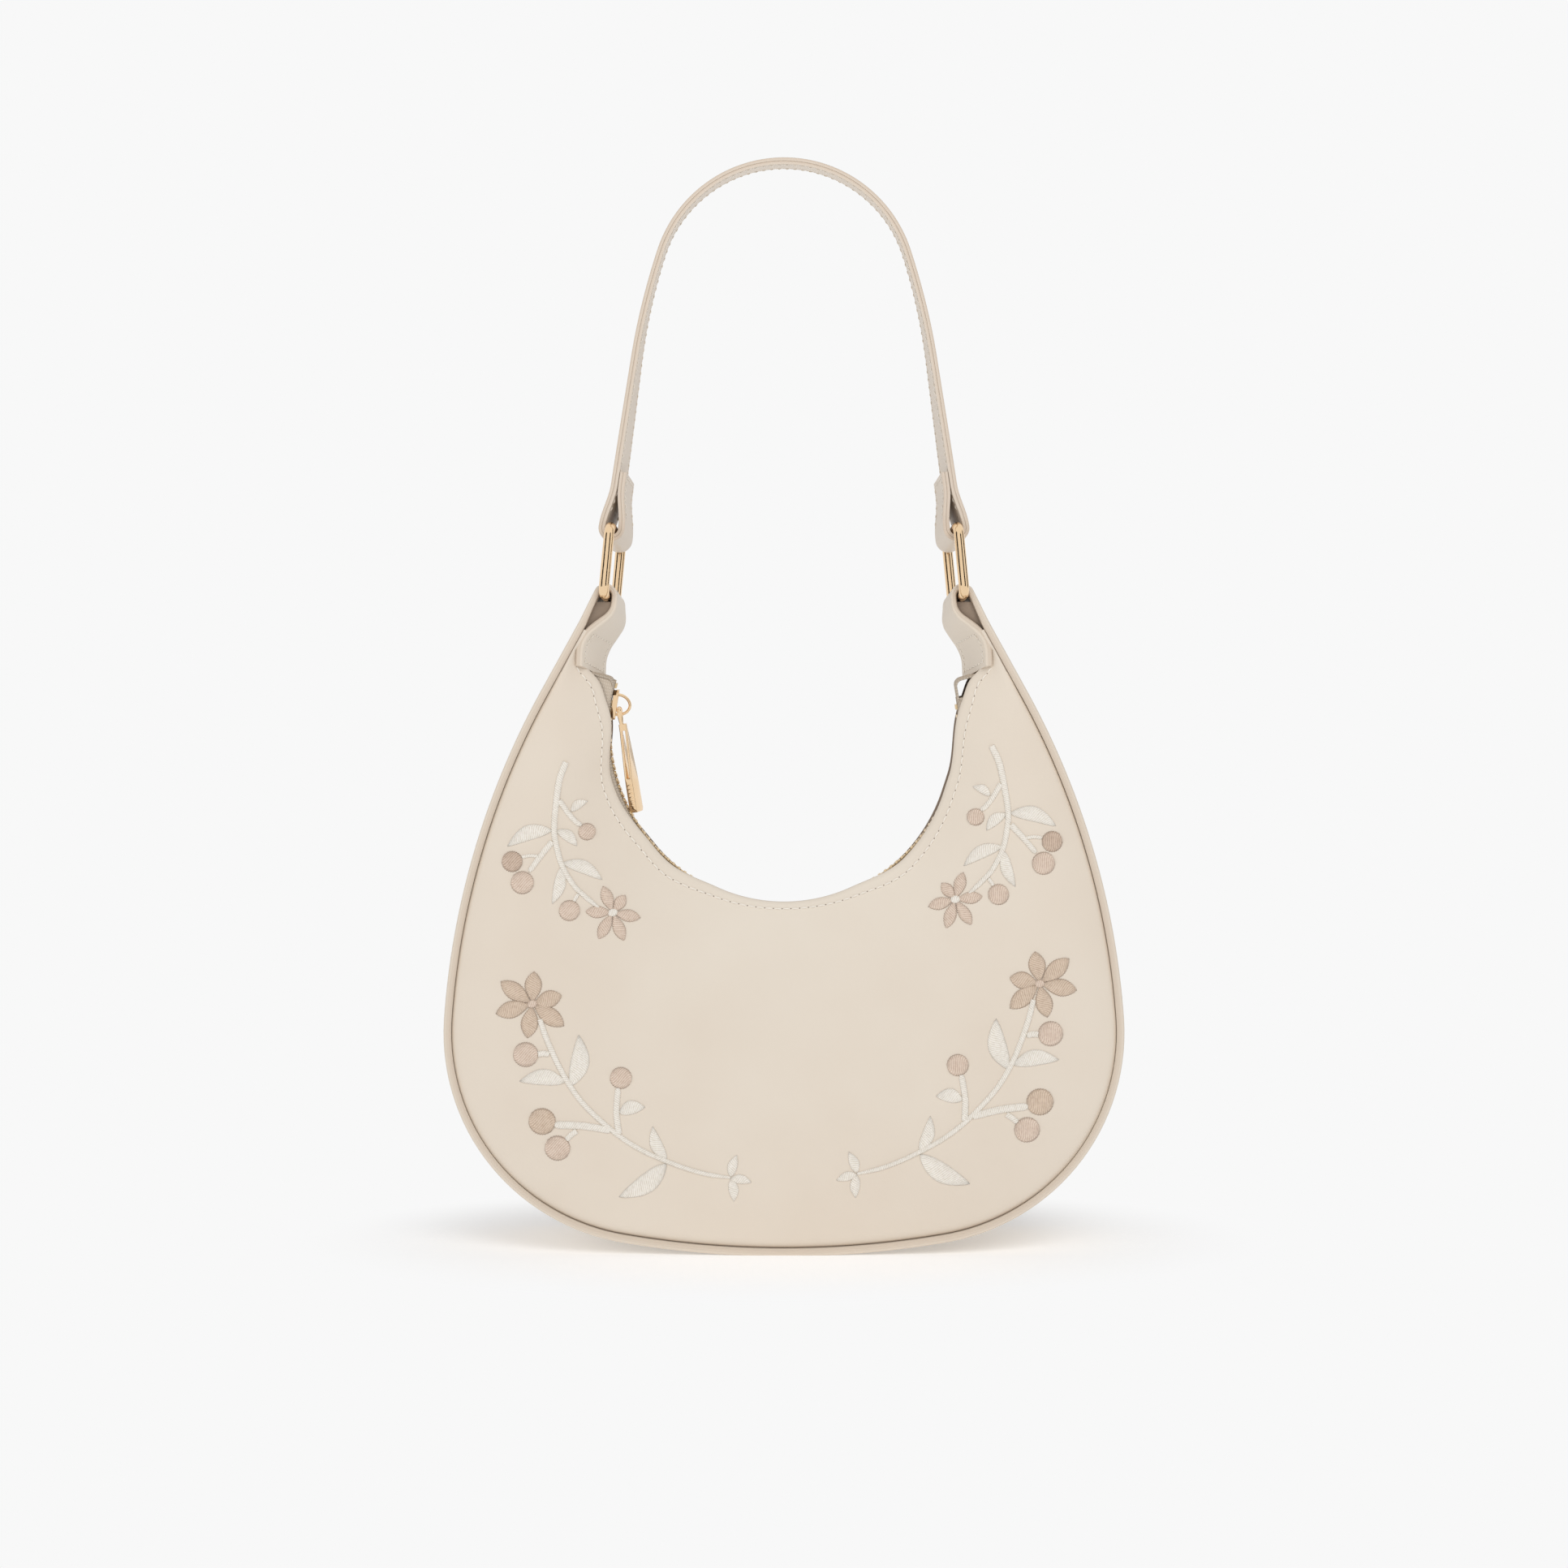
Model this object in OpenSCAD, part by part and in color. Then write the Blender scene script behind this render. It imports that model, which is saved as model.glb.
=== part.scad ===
// Small crescent shoulder bag in smooth leather. Two half-moon panels are sewn into a stiff
// gusset strip, and the ends of the strip go up as tabs round two oblong rings. A metal zip
// on an arc closes the top, and a strap of two layers hangs on the rings.
// X runs across the bag, the front faces -Y, and the bag stands on Z = 0.

/* [Body outline] */
// Radius of the shallow curve that the body stands on
base_arc_r = 360; // [280:1:460]
// Turn of that curve, from the middle to the corner
base_arc_turn = 10; // [8:0.5:12]
// Radius of the two lower corners
corner_arc_r = 82; // [76:0.5:90]
// Turn of a lower corner
corner_arc_turn = 84; // [82:0.5:86]
// Radius of the side above the corner
side_arc_r = 300; // [280:1:320]
// Turn of the side
side_arc_turn = 25; // [23.5:0.1:26]
// Straight run from the side up to the tip of a horn
horn_run = 30.5; // [28:0.5:33]
// Depth of the body along its base
base_depth = 60; // [48:1:80]
// How far the panels swell between their edges
belly = 4; // [0:0.5:8]

/* [Leather] */
// Thickness of the front and back panels
panel_t = 1.4; // [1:0.1:1.8]
// Thickness of the gusset strip, which shows as the rim
gusset_t = 2.9; // [2.2:0.1:3.4]
// How far the rim stands proud of the panel that is sewn inside it
rim_proud = 1; // [0.4:0.1:2]
// Thickness of the lining
lining_t = 0.8; // [0.4:0.1:1]
// Clearance between pieces that are sewn or pressed together
seam_gap = 0.3; // [0.2:0.05:0.4]

/* [Opening] */
// Radius of the opening's edge, round its lower part
edge_r = 64.5; // [64:0.1:66]
// Height of the edge's lowest point
edge_z = 131.2; // [129:0.1:133]
// Turn of the edge from its lowest point to where it runs straight into the horn
edge_turn = 72.2; // [71.5:0.1:73.5]
// Straight run of the edge up to the tip of the panel
edge_run = 57.6; // [55:0.2:59]
// Half the slot between the two opening edges
slot_half = 5.8; // [5.6:0.1:6.6]
// How far the front panel's edge stands back from the end of the tab, at the horns
front_lag = 0.8; // [0.8:0.1:2.5]
// How far the back panel's edge stands forward there, behind the slanting end of the tab
back_lead = 2; // [0:0.25:2.25]

/* [Zip] */
// Radius of the arc that the chain runs on, at the middle of the teeth
zip_r = 68; // [67:0.1:69]
// Height of the chain's lowest point
zip_z = 131.6; // [131:0.1:132.5]
// Distance between two teeth of one row
tooth_pitch = 2.8; // [2.6:0.05:3.2]
// Thickness of a tooth along the chain
tooth_t = 1.1; // [0.8:0.05:1.2]
// Height of a tooth, square to the tapes
tooth_h = 2.4; // [2:0.1:2.6]
// Width of the closed chain
chain_w = 5.8; // [5.4:0.1:6]
// Thickness of the woven tape
tape_t = 0.6; // [0.4:0.1:0.8]
// How far the tape goes down behind the panel
tape_leg = 8.5; // [6:0.5:10]

/* [Slider] */
// Length of the slider along the chain
slider_l = 11.6; // [10:0.2:13]
// Width at the end where the rows part
slider_w = 9; // [8.6:0.1:9.2]
// Width at the closing end
slider_tail_w = 7.8; // [7.6:0.1:8.4]
// Thickness of each plate
plate_t = 1.1; // [0.8:0.1:1.4]
// Height of the arched crown that carries the puller
crown_h = 5.5; // [5:0.1:6.5]
// Width of the crown's metal
crown_w = 2.2; // [1.8:0.1:2.6]
// Length of the puller from its pin to its tip
puller_l = 40; // [30:1:46]
// Width of the puller at its tip
puller_w = 6.8; // [5.6:0.2:7.6]
// Thickness of the puller
puller_t = 2.1; // [1.5:0.1:2.1]

/* [Rings and tabs] */
// Width of the tabs and of the gusset strip at the horns
tab_w = 25; // [22:0.5:27]
// Thickness of a tab
tab_t = 2.2; // [1.8:0.1:2.4]
// Diameter of the ring's wire
wire_d = 4; // [3.4:0.1:4.4]
// Distance between the ring's two bars
bar_spacing = 26.4; // [25:0.2:30]
// Play of the tab between the ring's sides, on each side
ring_side_play = 2.75; // [2.5:0.25:4]
// Radius of the ring's corners, at the middle of the wire
ring_corner_r = 4; // [3:0.25:4.5]
// How far the lower bar lies in from the tip of the horn
bar_in = 11; // [10:0.25:12.5]
// How far the lower bar lies above the tip of the horn
bar_up = 7.2; // [6.5:0.1:9]
// Lean of the ring towards the middle of the bag
ring_lean = 4; // [2:0.5:7]
// Turn of the ring, back wire towards the middle
ring_yaw = 5; // [0:0.5:8]
// Tilt of the ring, back wire lower
ring_tilt = 12; // [0:0.5:14]

/* [Strap] */
// Width of the strap
strap_w = 25; // [22:0.5:27]
// Thickness of each of the strap's two layers
layer_t = 1.1; // [0.8:0.05:1.3]
// Lean of the strap's legs where they leave the rings
leg_lean = 8.4; // [6:0.1:10]
// Straight part of a leg above the ring
leg_run = 67; // [50:1:90]
// Radius of the leg where it starts to bend over
shoulder_r = 245; // [180:1:320]
// Turn of that bend
shoulder_turn = 9.9; // [6:0.1:14]
// Length of the strap's end that is turned up beside the leg
free_end = 22; // [18:0.5:30]

/* [Hidden] */

leather = [0.90, 0.86, 0.80];
lining_cloth = [0.78, 0.72, 0.64];
tape_cloth = [0.84, 0.79, 0.71];
gold = [0.83, 0.65, 0.36];

$fn = 48;

// The leather that the floor flattens under the shallow base curve
floor_flat = 0.5;

// Stations along half of the outline, the opening's rows and the tab's bends
side_steps = 34;
panel_rows = 7;
lining_rows = 5;
wrap_steps = 9;
tab_steps = 12;
leg_steps = 12;
bend_steps = 16;

function ease(t) = let (c = max(0, min(1, t))) c * c * (3 - 2 * c);
function lerp(a, b, t) = a + (b - a) * t;
function unit(v) = v / norm(v);
function arc_len(r, turn) = r * turn * PI / 180;

// A route is a list of [radius, length]: radius 0 is straight, a positive one turns left.
// A point on it is [x, z, heading], with the heading in degrees from +X.
function step_on(p, r, d) = r == 0
    ? [p[0] + d * cos(p[2]), p[1] + d * sin(p[2]), p[2]]
    : let (h = p[2] + d / r * 180 / PI)
        [p[0] + r * (sin(h) - sin(p[2])), p[1] - r * (cos(h) - cos(p[2])), h];
function walk(route, d, from, i = 0) = i == len(route) - 1 || d <= route[i][1]
    ? step_on(from, route[i][0], d)
    : walk(route, d - route[i][1], step_on(from, route[i][0], route[i][1]), i + 1);
function route_len(route, i = 0) = i == len(route) ? 0 : route[i][1] + route_len(route, i + 1);

// The point that lies to the left of a route by off
function beside(p, off) = [p[0] - off * sin(p[2]), p[1] + off * cos(p[2])];

// Outline of the body: the outer face of the gusset, from the middle of the base to a horn
outline_route = [
    [base_arc_r, arc_len(base_arc_r, base_arc_turn)],
    [corner_arc_r, arc_len(corner_arc_r, corner_arc_turn)],
    [side_arc_r, arc_len(side_arc_r, side_arc_turn)],
    [0, horn_run]];
outline_l = route_len(outline_route);
function outline(d) = walk(outline_route, d, [0, -floor_flat, 0]);

// Half the depth of the body, which narrows from the lower corners up to the tab's width
narrow_from = outline_route[0][1] + outline_route[1][1] / 2;
function half_depth(d) =
    lerp(base_depth, tab_w, ease((d - narrow_from) / (outline_l - narrow_from))) / 2;

// Edge of the opening, from its lowest point up to the tip of the panel in the horn.
// Over the last shift_run it stands back or forward, to pass the slanting end of the tab.
shift_run = 13.6;
edge_route = [[edge_r, arc_len(edge_r, edge_turn)], [0, edge_run]];
edge_l = route_len(edge_route);
function edge_shift(e) = pow(sin(180 * max(e - edge_l + shift_run, 0) / shift_run), 2);
function edge(e, side) = let (p = walk(edge_route, e, [0, edge_z, 0]))
    [p[0] - (side > 0 ? back_lead : side < 0 ? -front_lag : 0) * edge_shift(e), p[1]];

// A panel spans from u = 0 at the gusset to u = 1 at the opening. Its skin lies at side * y.
panel_short = 10.5;
panel_end = outline_l - panel_short;
panel_power = 1.8;
edge_y = slot_half + panel_t;
function seam(d) = beside(outline(d), gusset_t + seam_gap);
function panel_xz(d, u, side) = lerp(seam(d), edge(d / panel_end * edge_l, side), u);
function panel_y(d, u) = lerp(half_depth(d) - rim_proud, edge_y, pow(u, panel_power))
    + belly * sin(180 * u) * (1 - pow(d / outline_l, 2));
function panel_width(d) = norm(seam(d) - edge(d / panel_end * edge_l, 0));

// A grid of points as a closed plate between two sheets of the same size
module plate(front, back) {
    rows = len(front);
    cols = len(front[0]);
    count = rows * cols;
    function at(i, j) = i * cols + j;
    function quad(a, b, c, d) = [[a, b, c], [a, c, d]];
    points = concat([for (r = front) each r], [for (r = back) each r]);
    sheets = [for (i = [0:rows - 2]) for (j = [0:cols - 2]) each concat(
        quad(at(i, j), at(i + 1, j), at(i + 1, j + 1), at(i, j + 1)),
        quad(count + at(i, j), count + at(i, j + 1),
            count + at(i + 1, j + 1), count + at(i + 1, j)))];
    long_edges = [for (i = [0:rows - 2]) each concat(
        quad(at(i, 0), count + at(i, 0), count + at(i + 1, 0), at(i + 1, 0)),
        quad(at(i, cols - 1), at(i + 1, cols - 1),
            count + at(i + 1, cols - 1), count + at(i, cols - 1)))];
    ends = [for (j = [0:cols - 2]) each concat(
        quad(at(0, j), at(0, j + 1), count + at(0, j + 1), count + at(0, j)),
        quad(at(rows - 1, j), count + at(rows - 1, j),
            count + at(rows - 1, j + 1), at(rows - 1, j + 1)))];
    polyhedron(points, concat(sheets, long_edges, ends), convexity = 6);
}

// Rings of points, one after another, as a closed bar
module bar(rings) {
    n = len(rings[0]);
    last = (len(rings) - 1) * n;
    sides = [for (i = [0:len(rings) - 2]) for (j = [0:n - 1])
        let (a = i * n + j, b = i * n + (j + 1) % n) each [[a, b, b + n], [a, b + n, a + n]]];
    caps = [for (j = [1:n - 2]) each [[0, j + 1, j], [last, last + j, last + j + 1]]];
    polyhedron([for (r = rings) each r], concat(sides, caps), convexity = 8);
}

function mirrored(rings) =
    [for (i = [len(rings) - 1:-1:0]) [for (p = rings[i]) [-p[0], p[1], p[2]]]];
function both_sides(rings) = concat(mirrored(rings), [for (i = [1:len(rings) - 1]) rings[i]]);

// Direction across a strip that is turned by yaw, back edge inwards, and tilted, back edge down
function across(yaw, tilt) = [-sin(yaw) * cos(tilt), cos(yaw) * cos(tilt), -sin(tilt)];

// Stations [x, y, z, half width, half thickness, yaw, tilt] of a strip as rings of points.
// lift moves the strip off the route, to its left.
function place(s) = [s[0], s[1], s[2]];
function strip_rings(stations, lift, bevel) = [for (i = [0:len(stations) - 1])
    let (s = stations[i], w = across(s[5], s[6]),
        before = place(stations[max(i - 1, 0)]),
        after = place(stations[min(i + 1, len(stations) - 1)]),
        n = unit(cross(after - before, w)), centre = place(s) + lift * n)
    [for (q = strip_profile(s[3], s[4], bevel)) centre + q[0] * n + q[1] * w]];
function strip_profile(half_w, half_t, bevel) = [
    [-half_t, half_w - bevel], [-half_t, bevel - half_w],
    [bevel - half_t, -half_w], [half_t - bevel, -half_w],
    [half_t, bevel - half_w], [half_t, half_w - bevel],
    [half_t - bevel, half_w], [bevel - half_t, half_w]];
function on_floor(rings) = [for (r = rings) [for (p = r) [p[0], p[1], max(p[2], 0)]]];

// Ring: its lower bar lies in the tab, its upper bar in the loop of the strap
horn_tip = outline(outline_l);
lower_bar = [horn_tip[0] - bar_in, 0, horn_tip[1] + bar_up];
lean_up = [-sin(ring_lean), 0, cos(ring_lean)];
tilted_up = [lean_up[0], lean_up[2] * sin(ring_tilt), lean_up[2] * cos(ring_tilt)];
ring_up = [tilted_up[0] * cos(ring_yaw) - tilted_up[1] * sin(ring_yaw),
    tilted_up[0] * sin(ring_yaw) + tilted_up[1] * cos(ring_yaw), tilted_up[2]];
upper_bar = lower_bar + bar_spacing * ring_up;
ring_side_y = tab_w / 2 + ring_side_play + wire_d / 2;
loop_play = 0.5;

// Tab: from the horn it leans over to the lower bar, wraps it, and comes back down inside
tab_wrap_r = wire_d / 2 + loop_play + tab_t / 2;
tab_hang = 3.5;
tab_bow_r = 8;
tab_bow_turn = 44;
tab_slope = 6;
tab_ease_r = 14;
tab_ease_turn = 42;
tab_end = 2.5;
tab_route = [
    [0, tab_hang],
    [tab_bow_r, arc_len(tab_bow_r, tab_bow_turn)],
    [0, tab_slope],
    [-tab_ease_r, arc_len(tab_ease_r, tab_ease_turn)],
    [0, tab_end]];
tab_end_yaw = 19;
tab_end_tilt = 15;
tab_bevel = 0.5;

horn_mid = beside(horn_tip, gusset_t / 2);
to_bar = [lower_bar[0] - horn_mid[0], lower_bar[2] - horn_mid[1]];
wrap_heading = atan2(to_bar[1], to_bar[0]) - asin(tab_wrap_r / norm(to_bar));
function round_bar(h) = [lower_bar[0] + tab_wrap_r * sin(h), lower_bar[2] - tab_wrap_r * cos(h)];
rise_steps = 3;
tab_rise = [for (i = [1:rise_steps - 1]) let (t = i / rise_steps,
    q = lerp(horn_mid, round_bar(wrap_heading), t))
    [q[0], 0, q[1], tab_w / 2, lerp(gusset_t, tab_t, t) / 2, ring_yaw * t, ring_tilt * t]];
tab_wrap = [for (i = [0:wrap_steps])
    let (q = round_bar(lerp(wrap_heading, 270, i / wrap_steps)))
    [q[0], 0, q[1], tab_w / 2, tab_t / 2, ring_yaw, ring_tilt]];
tab_fall = [for (i = [1:tab_steps]) let (t = i / tab_steps,
    q = walk(tab_route, t * route_len(tab_route), [lower_bar[0] - tab_wrap_r, lower_bar[2], 270]))
    [q[0], 0, q[1], tab_w / 2, tab_t / 2,
        lerp(ring_yaw, tab_end_yaw, t), lerp(ring_tilt, tab_end_tilt, t)]];
gusset_body = [for (i = [0:side_steps]) let (d = outline_l * i / side_steps,
    q = beside(outline(d), gusset_t / 2)) [q[0], 0, q[1], half_depth(d), gusset_t / 2, 0, 0]];

module gusset() {
    color(leather)
        bar(on_floor(both_sides(strip_rings(
            concat(gusset_body, tab_rise, tab_wrap, tab_fall), 0, tab_bevel))));
}

// One skin of the body from horn to horn, lifted off the panel's face and cut to u0 and u1
function skin_rows(side, ends, steps, rows, first_u, last_u, lift) =
    [for (i = [-steps:steps]) let (d = ends * i / steps, a = abs(d))
        [for (j = [0:rows - 1]) let (u = lerp(first_u(a), last_u(a), j / (rows - 1)),
            q = panel_xz(a, u, side))
            [sign(i) * q[0], side * (panel_y(a, u) - lift), q[1]]]];

module skin(side, ends, steps, rows, first_u, last_u, lift, thickness) {
    outer = skin_rows(side, ends, steps, rows, first_u, last_u, lift);
    inner = skin_rows(side, ends, steps, rows, first_u, last_u, lift + thickness);
    if (side < 0) plate(inner, outer);
    else plate(outer, inner);
}

module front_panel() {
    color(leather)
        skin(-1, panel_end, side_steps, panel_rows, function(d) 0, function(d) 1, 0, panel_t);
}

module back_panel() {
    color(leather)
        skin(1, panel_end, side_steps, panel_rows, function(d) 0, function(d) 1, 0, panel_t);
}

// The lining lies inside the panels and ends below the tapes, clear of the slider
lining_steps = 20;
lining_short = 12;
lining_end = outline_l - horn_run - lining_short;
lining_inset = lining_t + 5 * seam_gap;
tape_recess = 3;
tape_reach = tape_leg + tape_recess;
lining_from = function(d) lining_inset / panel_width(d);
lining_to = function(d) 1 - (tape_reach + seam_gap) / panel_width(d);
lining_lift = panel_t + 2 * seam_gap;

module front_lining() {
    color(lining_cloth)
        skin(-1, lining_end, lining_steps, lining_rows, lining_from, lining_to,
            lining_lift, lining_t);
}

module back_lining() {
    color(lining_cloth)
        skin(1, lining_end, lining_steps, lining_rows, lining_from, lining_to,
            lining_lift, lining_t);
}

module gusset_lining() {
    lining_bevel = 0.2;
    mid = gusset_t + seam_gap + lining_t / 2;
    side_clear = rim_proud + lining_lift;
    stations = [for (i = [0:lining_steps]) let (d = lining_end * i / lining_steps,
        q = beside(outline(d), mid))
        [q[0], 0, q[1], half_depth(d) - side_clear, lining_t / 2, 0, 0]];
    color(lining_cloth)
        bar(both_sides(strip_rings(stations, 0, lining_bevel)));
}

// Zip: places on the chain are angles from the lowest point, positive towards +X.
// Local X runs along the chain and local Z towards the centre of the arc.
module at_zip(angle) {
    translate([0, 0, zip_centre_z]) rotate([0, -angle, 0]) translate([0, 0, -zip_r]) children();
}

module along_zip(from, to) {
    translate([0, 0, zip_centre_z]) rotate([-90, 0, 0]) rotate([0, 0, 90 - to])
        rotate_extrude(angle = to - from, $fn = 180) children();
}

zip_centre_z = zip_z + zip_r;
slider_at = -99;
slider_half_angle = asin(slider_l / 2 / zip_r);
stop_l = 1.8;
stop_gap = 0.6;
stop_angle = asin((slider_l / 2 + stop_gap + stop_l / 2) / zip_r);
chain_over = 0.8;
chain_short = 1.6;
tape_over = [1.5, 3];
chain_from = slider_at - chain_over;
bottom_stop_at = 98;
chain_to = bottom_stop_at - chain_short;
tape_from = slider_at - stop_angle - tape_over[0];
tape_to = bottom_stop_at + tape_over[1];
pitch_angle = tooth_pitch / zip_r * 180 / PI;
teeth = floor((chain_to - chain_from) / pitch_angle);

// A tooth or clip seen along the chain, on the +Y side: jaws on the tape, head over the middle
jaw_slot = tape_t + 0.2;
jaw_l = 1.4;
tooth_back = chain_w / 2;
tape_edge = tooth_back - jaw_l + 0.15;
tooth_reach = 0.85;
tooth_waist = 0.75;

module tooth_side() {
    polygon([
        [tooth_back, tooth_h / 2 - 0.3], [tooth_back - 0.3, tooth_h / 2],
        [tooth_waist, tooth_h / 2], [-tooth_reach + 0.35, tooth_h / 2 - 0.25],
        [-tooth_reach, tooth_h / 2 - 0.6], [-tooth_reach, 0.6 - tooth_h / 2],
        [-tooth_reach + 0.35, 0.25 - tooth_h / 2], [tooth_waist, -tooth_h / 2],
        [tooth_back - 0.3, -tooth_h / 2], [tooth_back, 0.3 - tooth_h / 2],
        [tooth_back, -jaw_slot / 2], [tooth_back - jaw_l, -jaw_slot / 2],
        [tooth_back - jaw_l, jaw_slot / 2], [tooth_back, jaw_slot / 2]]);
}

module clip_side(reach) {
    polygon([
        [reach, tooth_h / 2], [tooth_back + 0.2, tooth_h / 2],
        [tooth_back + 0.2, jaw_slot / 2], [tooth_back - jaw_l, jaw_slot / 2],
        [tooth_back - jaw_l, -jaw_slot / 2], [tooth_back + 0.2, -jaw_slot / 2],
        [tooth_back + 0.2, -tooth_h / 2], [reach, -tooth_h / 2]]);
}

// Turns a side view, drawn as across and up, into a piece that is long along the chain
module along_chain(length) {
    rotate([90, 0, 90]) linear_extrude(length, center = true) children();
}

module front_teeth() {
    color(gold)
        for (i = [0:teeth - 1]) at_zip(chain_from + i * pitch_angle)
            mirror([0, 1, 0]) along_chain(tooth_t) tooth_side();
}

module back_teeth() {
    color(gold)
        for (i = [0:teeth - 1]) at_zip(chain_from + (i + 0.5) * pitch_angle)
            along_chain(tooth_t) tooth_side();
}

module top_stops() {
    color(gold) at_zip(slider_at - stop_angle) {
        along_chain(stop_l) clip_side(0.6);
        mirror([0, 1, 0]) along_chain(stop_l) clip_side(0.6);
    }
}

module bottom_stop() {
    color(gold) at_zip(bottom_stop_at) {
        along_chain(stop_l) clip_side(0);
        mirror([0, 1, 0]) along_chain(stop_l) clip_side(0);
    }
}

// Tape, drawn as radius and distance from the middle: flat to the slot's edge, then down
tape_bend = slot_half - seam_gap;
module tape_section() {
    top = zip_r - tape_t / 2;
    foot = zip_r + tape_leg;
    polygon([
        [top, tape_edge], [top, tape_bend - tape_t / 2], [top + tape_t / 2, tape_bend],
        [foot, tape_bend], [foot, tape_bend - tape_t],
        [top + tape_t, tape_bend - tape_t], [top + tape_t, tape_edge]]);
}

module front_tape() {
    color(tape_cloth) along_zip(tape_from, tape_to) mirror([0, 1]) tape_section();
}

module back_tape() {
    color(tape_cloth) along_zip(tape_from, tape_to) tape_section();
}

// Slider: two plates joined by a post where the rows part, with lips that guide the tapes
plate_gap = tooth_h / 2 + 0.45;
lip_t = 0.7;
lip_gap = 0.75;
post_l = 2.2;
post_w = 2.2;

// Outline of a plate, with its wide end at -X. inset leaves out a margin at the sides.
module plate_outline(inset) {
    wide = slider_w / 2;
    tail = slider_tail_w / 2;
    nose = 2;
    polygon([
        [-slider_l / 2, wide - nose - inset], [-slider_l / 2 + nose, wide - inset],
        [-slider_l / 2 + 2 * nose, wide - inset], [slider_l / 2 - 1, tail - inset],
        [slider_l / 2, tail - 1 - inset], [slider_l / 2, 1 + inset - tail],
        [slider_l / 2 - 1, inset - tail], [-slider_l / 2 + 2 * nose, inset - wide],
        [-slider_l / 2 + nose, inset - wide], [-slider_l / 2, nose + inset - wide]]);
}

module slider_half() {
    translate([0, 0, plate_gap]) linear_extrude(plate_t) plate_outline(0);
    translate([0, 0, lip_gap]) linear_extrude(plate_gap - lip_gap) difference() {
        plate_outline(0);
        plate_outline(lip_t);
        translate([-slider_l / 2 - 1, -slider_w]) square([3, 2 * slider_w]);
        translate([slider_l / 2 - 1, -slider_w]) square([3, 2 * slider_w]);
    }
}

module slider_body() {
    color(gold) at_zip(slider_at) {
        slider_half();
        mirror([0, 0, 1]) slider_half();
        translate([-slider_l / 2 + post_l / 2 + 0.3, 0, 0])
            cube([post_l, post_w, 2 * plate_gap], center = true);
    }
}

// Crown: a flat arch over the slider, with the puller's pin in its window
crown_l = 9;
crown_t = 1.2;
deck = plate_gap + plate_t;
module crown_arch(length, height) {
    intersection() {
        scale([length / 2, height]) circle(1, $fn = 64);
        translate([-length / 2, 0]) square([length, height]);
    }
}

module slider_crown() {
    color(gold) at_zip(slider_at) translate([0, 0, deck]) rotate([90, 0, 0])
        linear_extrude(crown_w, center = true) difference() {
            crown_arch(crown_l, crown_h);
            crown_arch(crown_l - 2 * crown_t, crown_h - crown_t);
        }
}

// Puller: it hangs from the crown and lies with its tip on the teeth
pin_r = 0.8;
pin_x = 2;
pin_z = deck + pin_r + 0.3;
eye_l = 6.9;
arm_w = 1.2;
eye_half = crown_w / 2 + 0.4;
puller_rest_gap = 0.3;
pin_depth = zip_r - pin_z;
pin_to_centre = norm([pin_depth, pin_x]);
tip_orbit = zip_r - tooth_h / 2 - puller_rest_gap;
tip_reach = norm([puller_l, puller_t / 2]);
rest_sine = (pow(pin_to_centre, 2) + pow(tip_reach, 2) - pow(tip_orbit, 2))
    / (2 * tip_reach * pin_to_centre);
puller_rest = atan2(pin_x, pin_depth) + asin(rest_sine) + atan2(puller_t / 2, puller_l);

module puller() {
    neck = eye_half + arm_w;
    tip = puller_w / 2;
    tip_cut = 1;
    color(gold) at_zip(slider_at) translate([pin_x, 0, pin_z]) rotate([0, -puller_rest, 0]) {
        rotate([90, 0, 0]) cylinder(r = pin_r, h = 2 * neck, center = true);
        for (y = [-1, 1]) translate([0, y * (eye_half + arm_w / 2), 0])
            translate([eye_l / 2, 0, 0]) cube([eye_l, arm_w, 2 * pin_r], center = true);
        linear_extrude(puller_t, center = true) polygon([
            [eye_l, -neck], [puller_l - tip_cut, -tip], [puller_l, tip_cut - tip],
            [puller_l, tip - tip_cut], [puller_l - tip_cut, tip], [eye_l, neck]]);
    }
}

// Ring of round wire, drawn with its lower bar at the origin and its long sides upright
module ring_shape() {
    wire_r = wire_d / 2;
    straight_y = ring_side_y - ring_corner_r;
    straight_z = bar_spacing - 2 * ring_corner_r;
    for (z = [0, bar_spacing]) translate([0, 0, z]) rotate([90, 0, 0])
        cylinder(r = wire_r, h = 2 * straight_y, center = true);
    for (y = [-1, 1]) translate([0, y * ring_side_y, bar_spacing / 2])
        cylinder(r = wire_r, h = straight_z, center = true);
    for (y = [0, 1]) for (z = [0, 1])
        translate([0, 0, bar_spacing / 2]) mirror([0, y, 0]) mirror([0, 0, z])
            translate([0, straight_y, straight_z / 2]) rotate([90, 0, 90])
                rotate_extrude(angle = 90) translate([ring_corner_r, 0]) circle(wire_r);
}

module right_ring() {
    color(gold) translate(lower_bar) rotate([0, 0, ring_yaw]) rotate([-ring_tilt, 0, 0])
        rotate([0, -ring_lean, 0]) ring_shape();
}

module left_ring() {
    mirror([1, 0, 0]) right_ring();
}

// Strap: up from the ring, over, and down to the other. At each ring it goes round the bar
// in a drop-shaped loop, and its end is turned up on the inner side of the leg.
layer_lift = (layer_t + seam_gap) / 2;
loop_r = wire_d / 2 + loop_play + layer_t + seam_gap / 2;
leg_off = layer_t + seam_gap;
drop_h = 17;
leg_up = [-sin(leg_lean), cos(leg_lean)];
leg_out = [cos(leg_lean), sin(leg_lean)];
bar_xz = [upper_bar[0], upper_bar[2]];
leg_foot = bar_xz + leg_off * leg_out;
leg_heading = 90 + leg_lean;
shoulder_heading = leg_heading + shoulder_turn;
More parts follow.
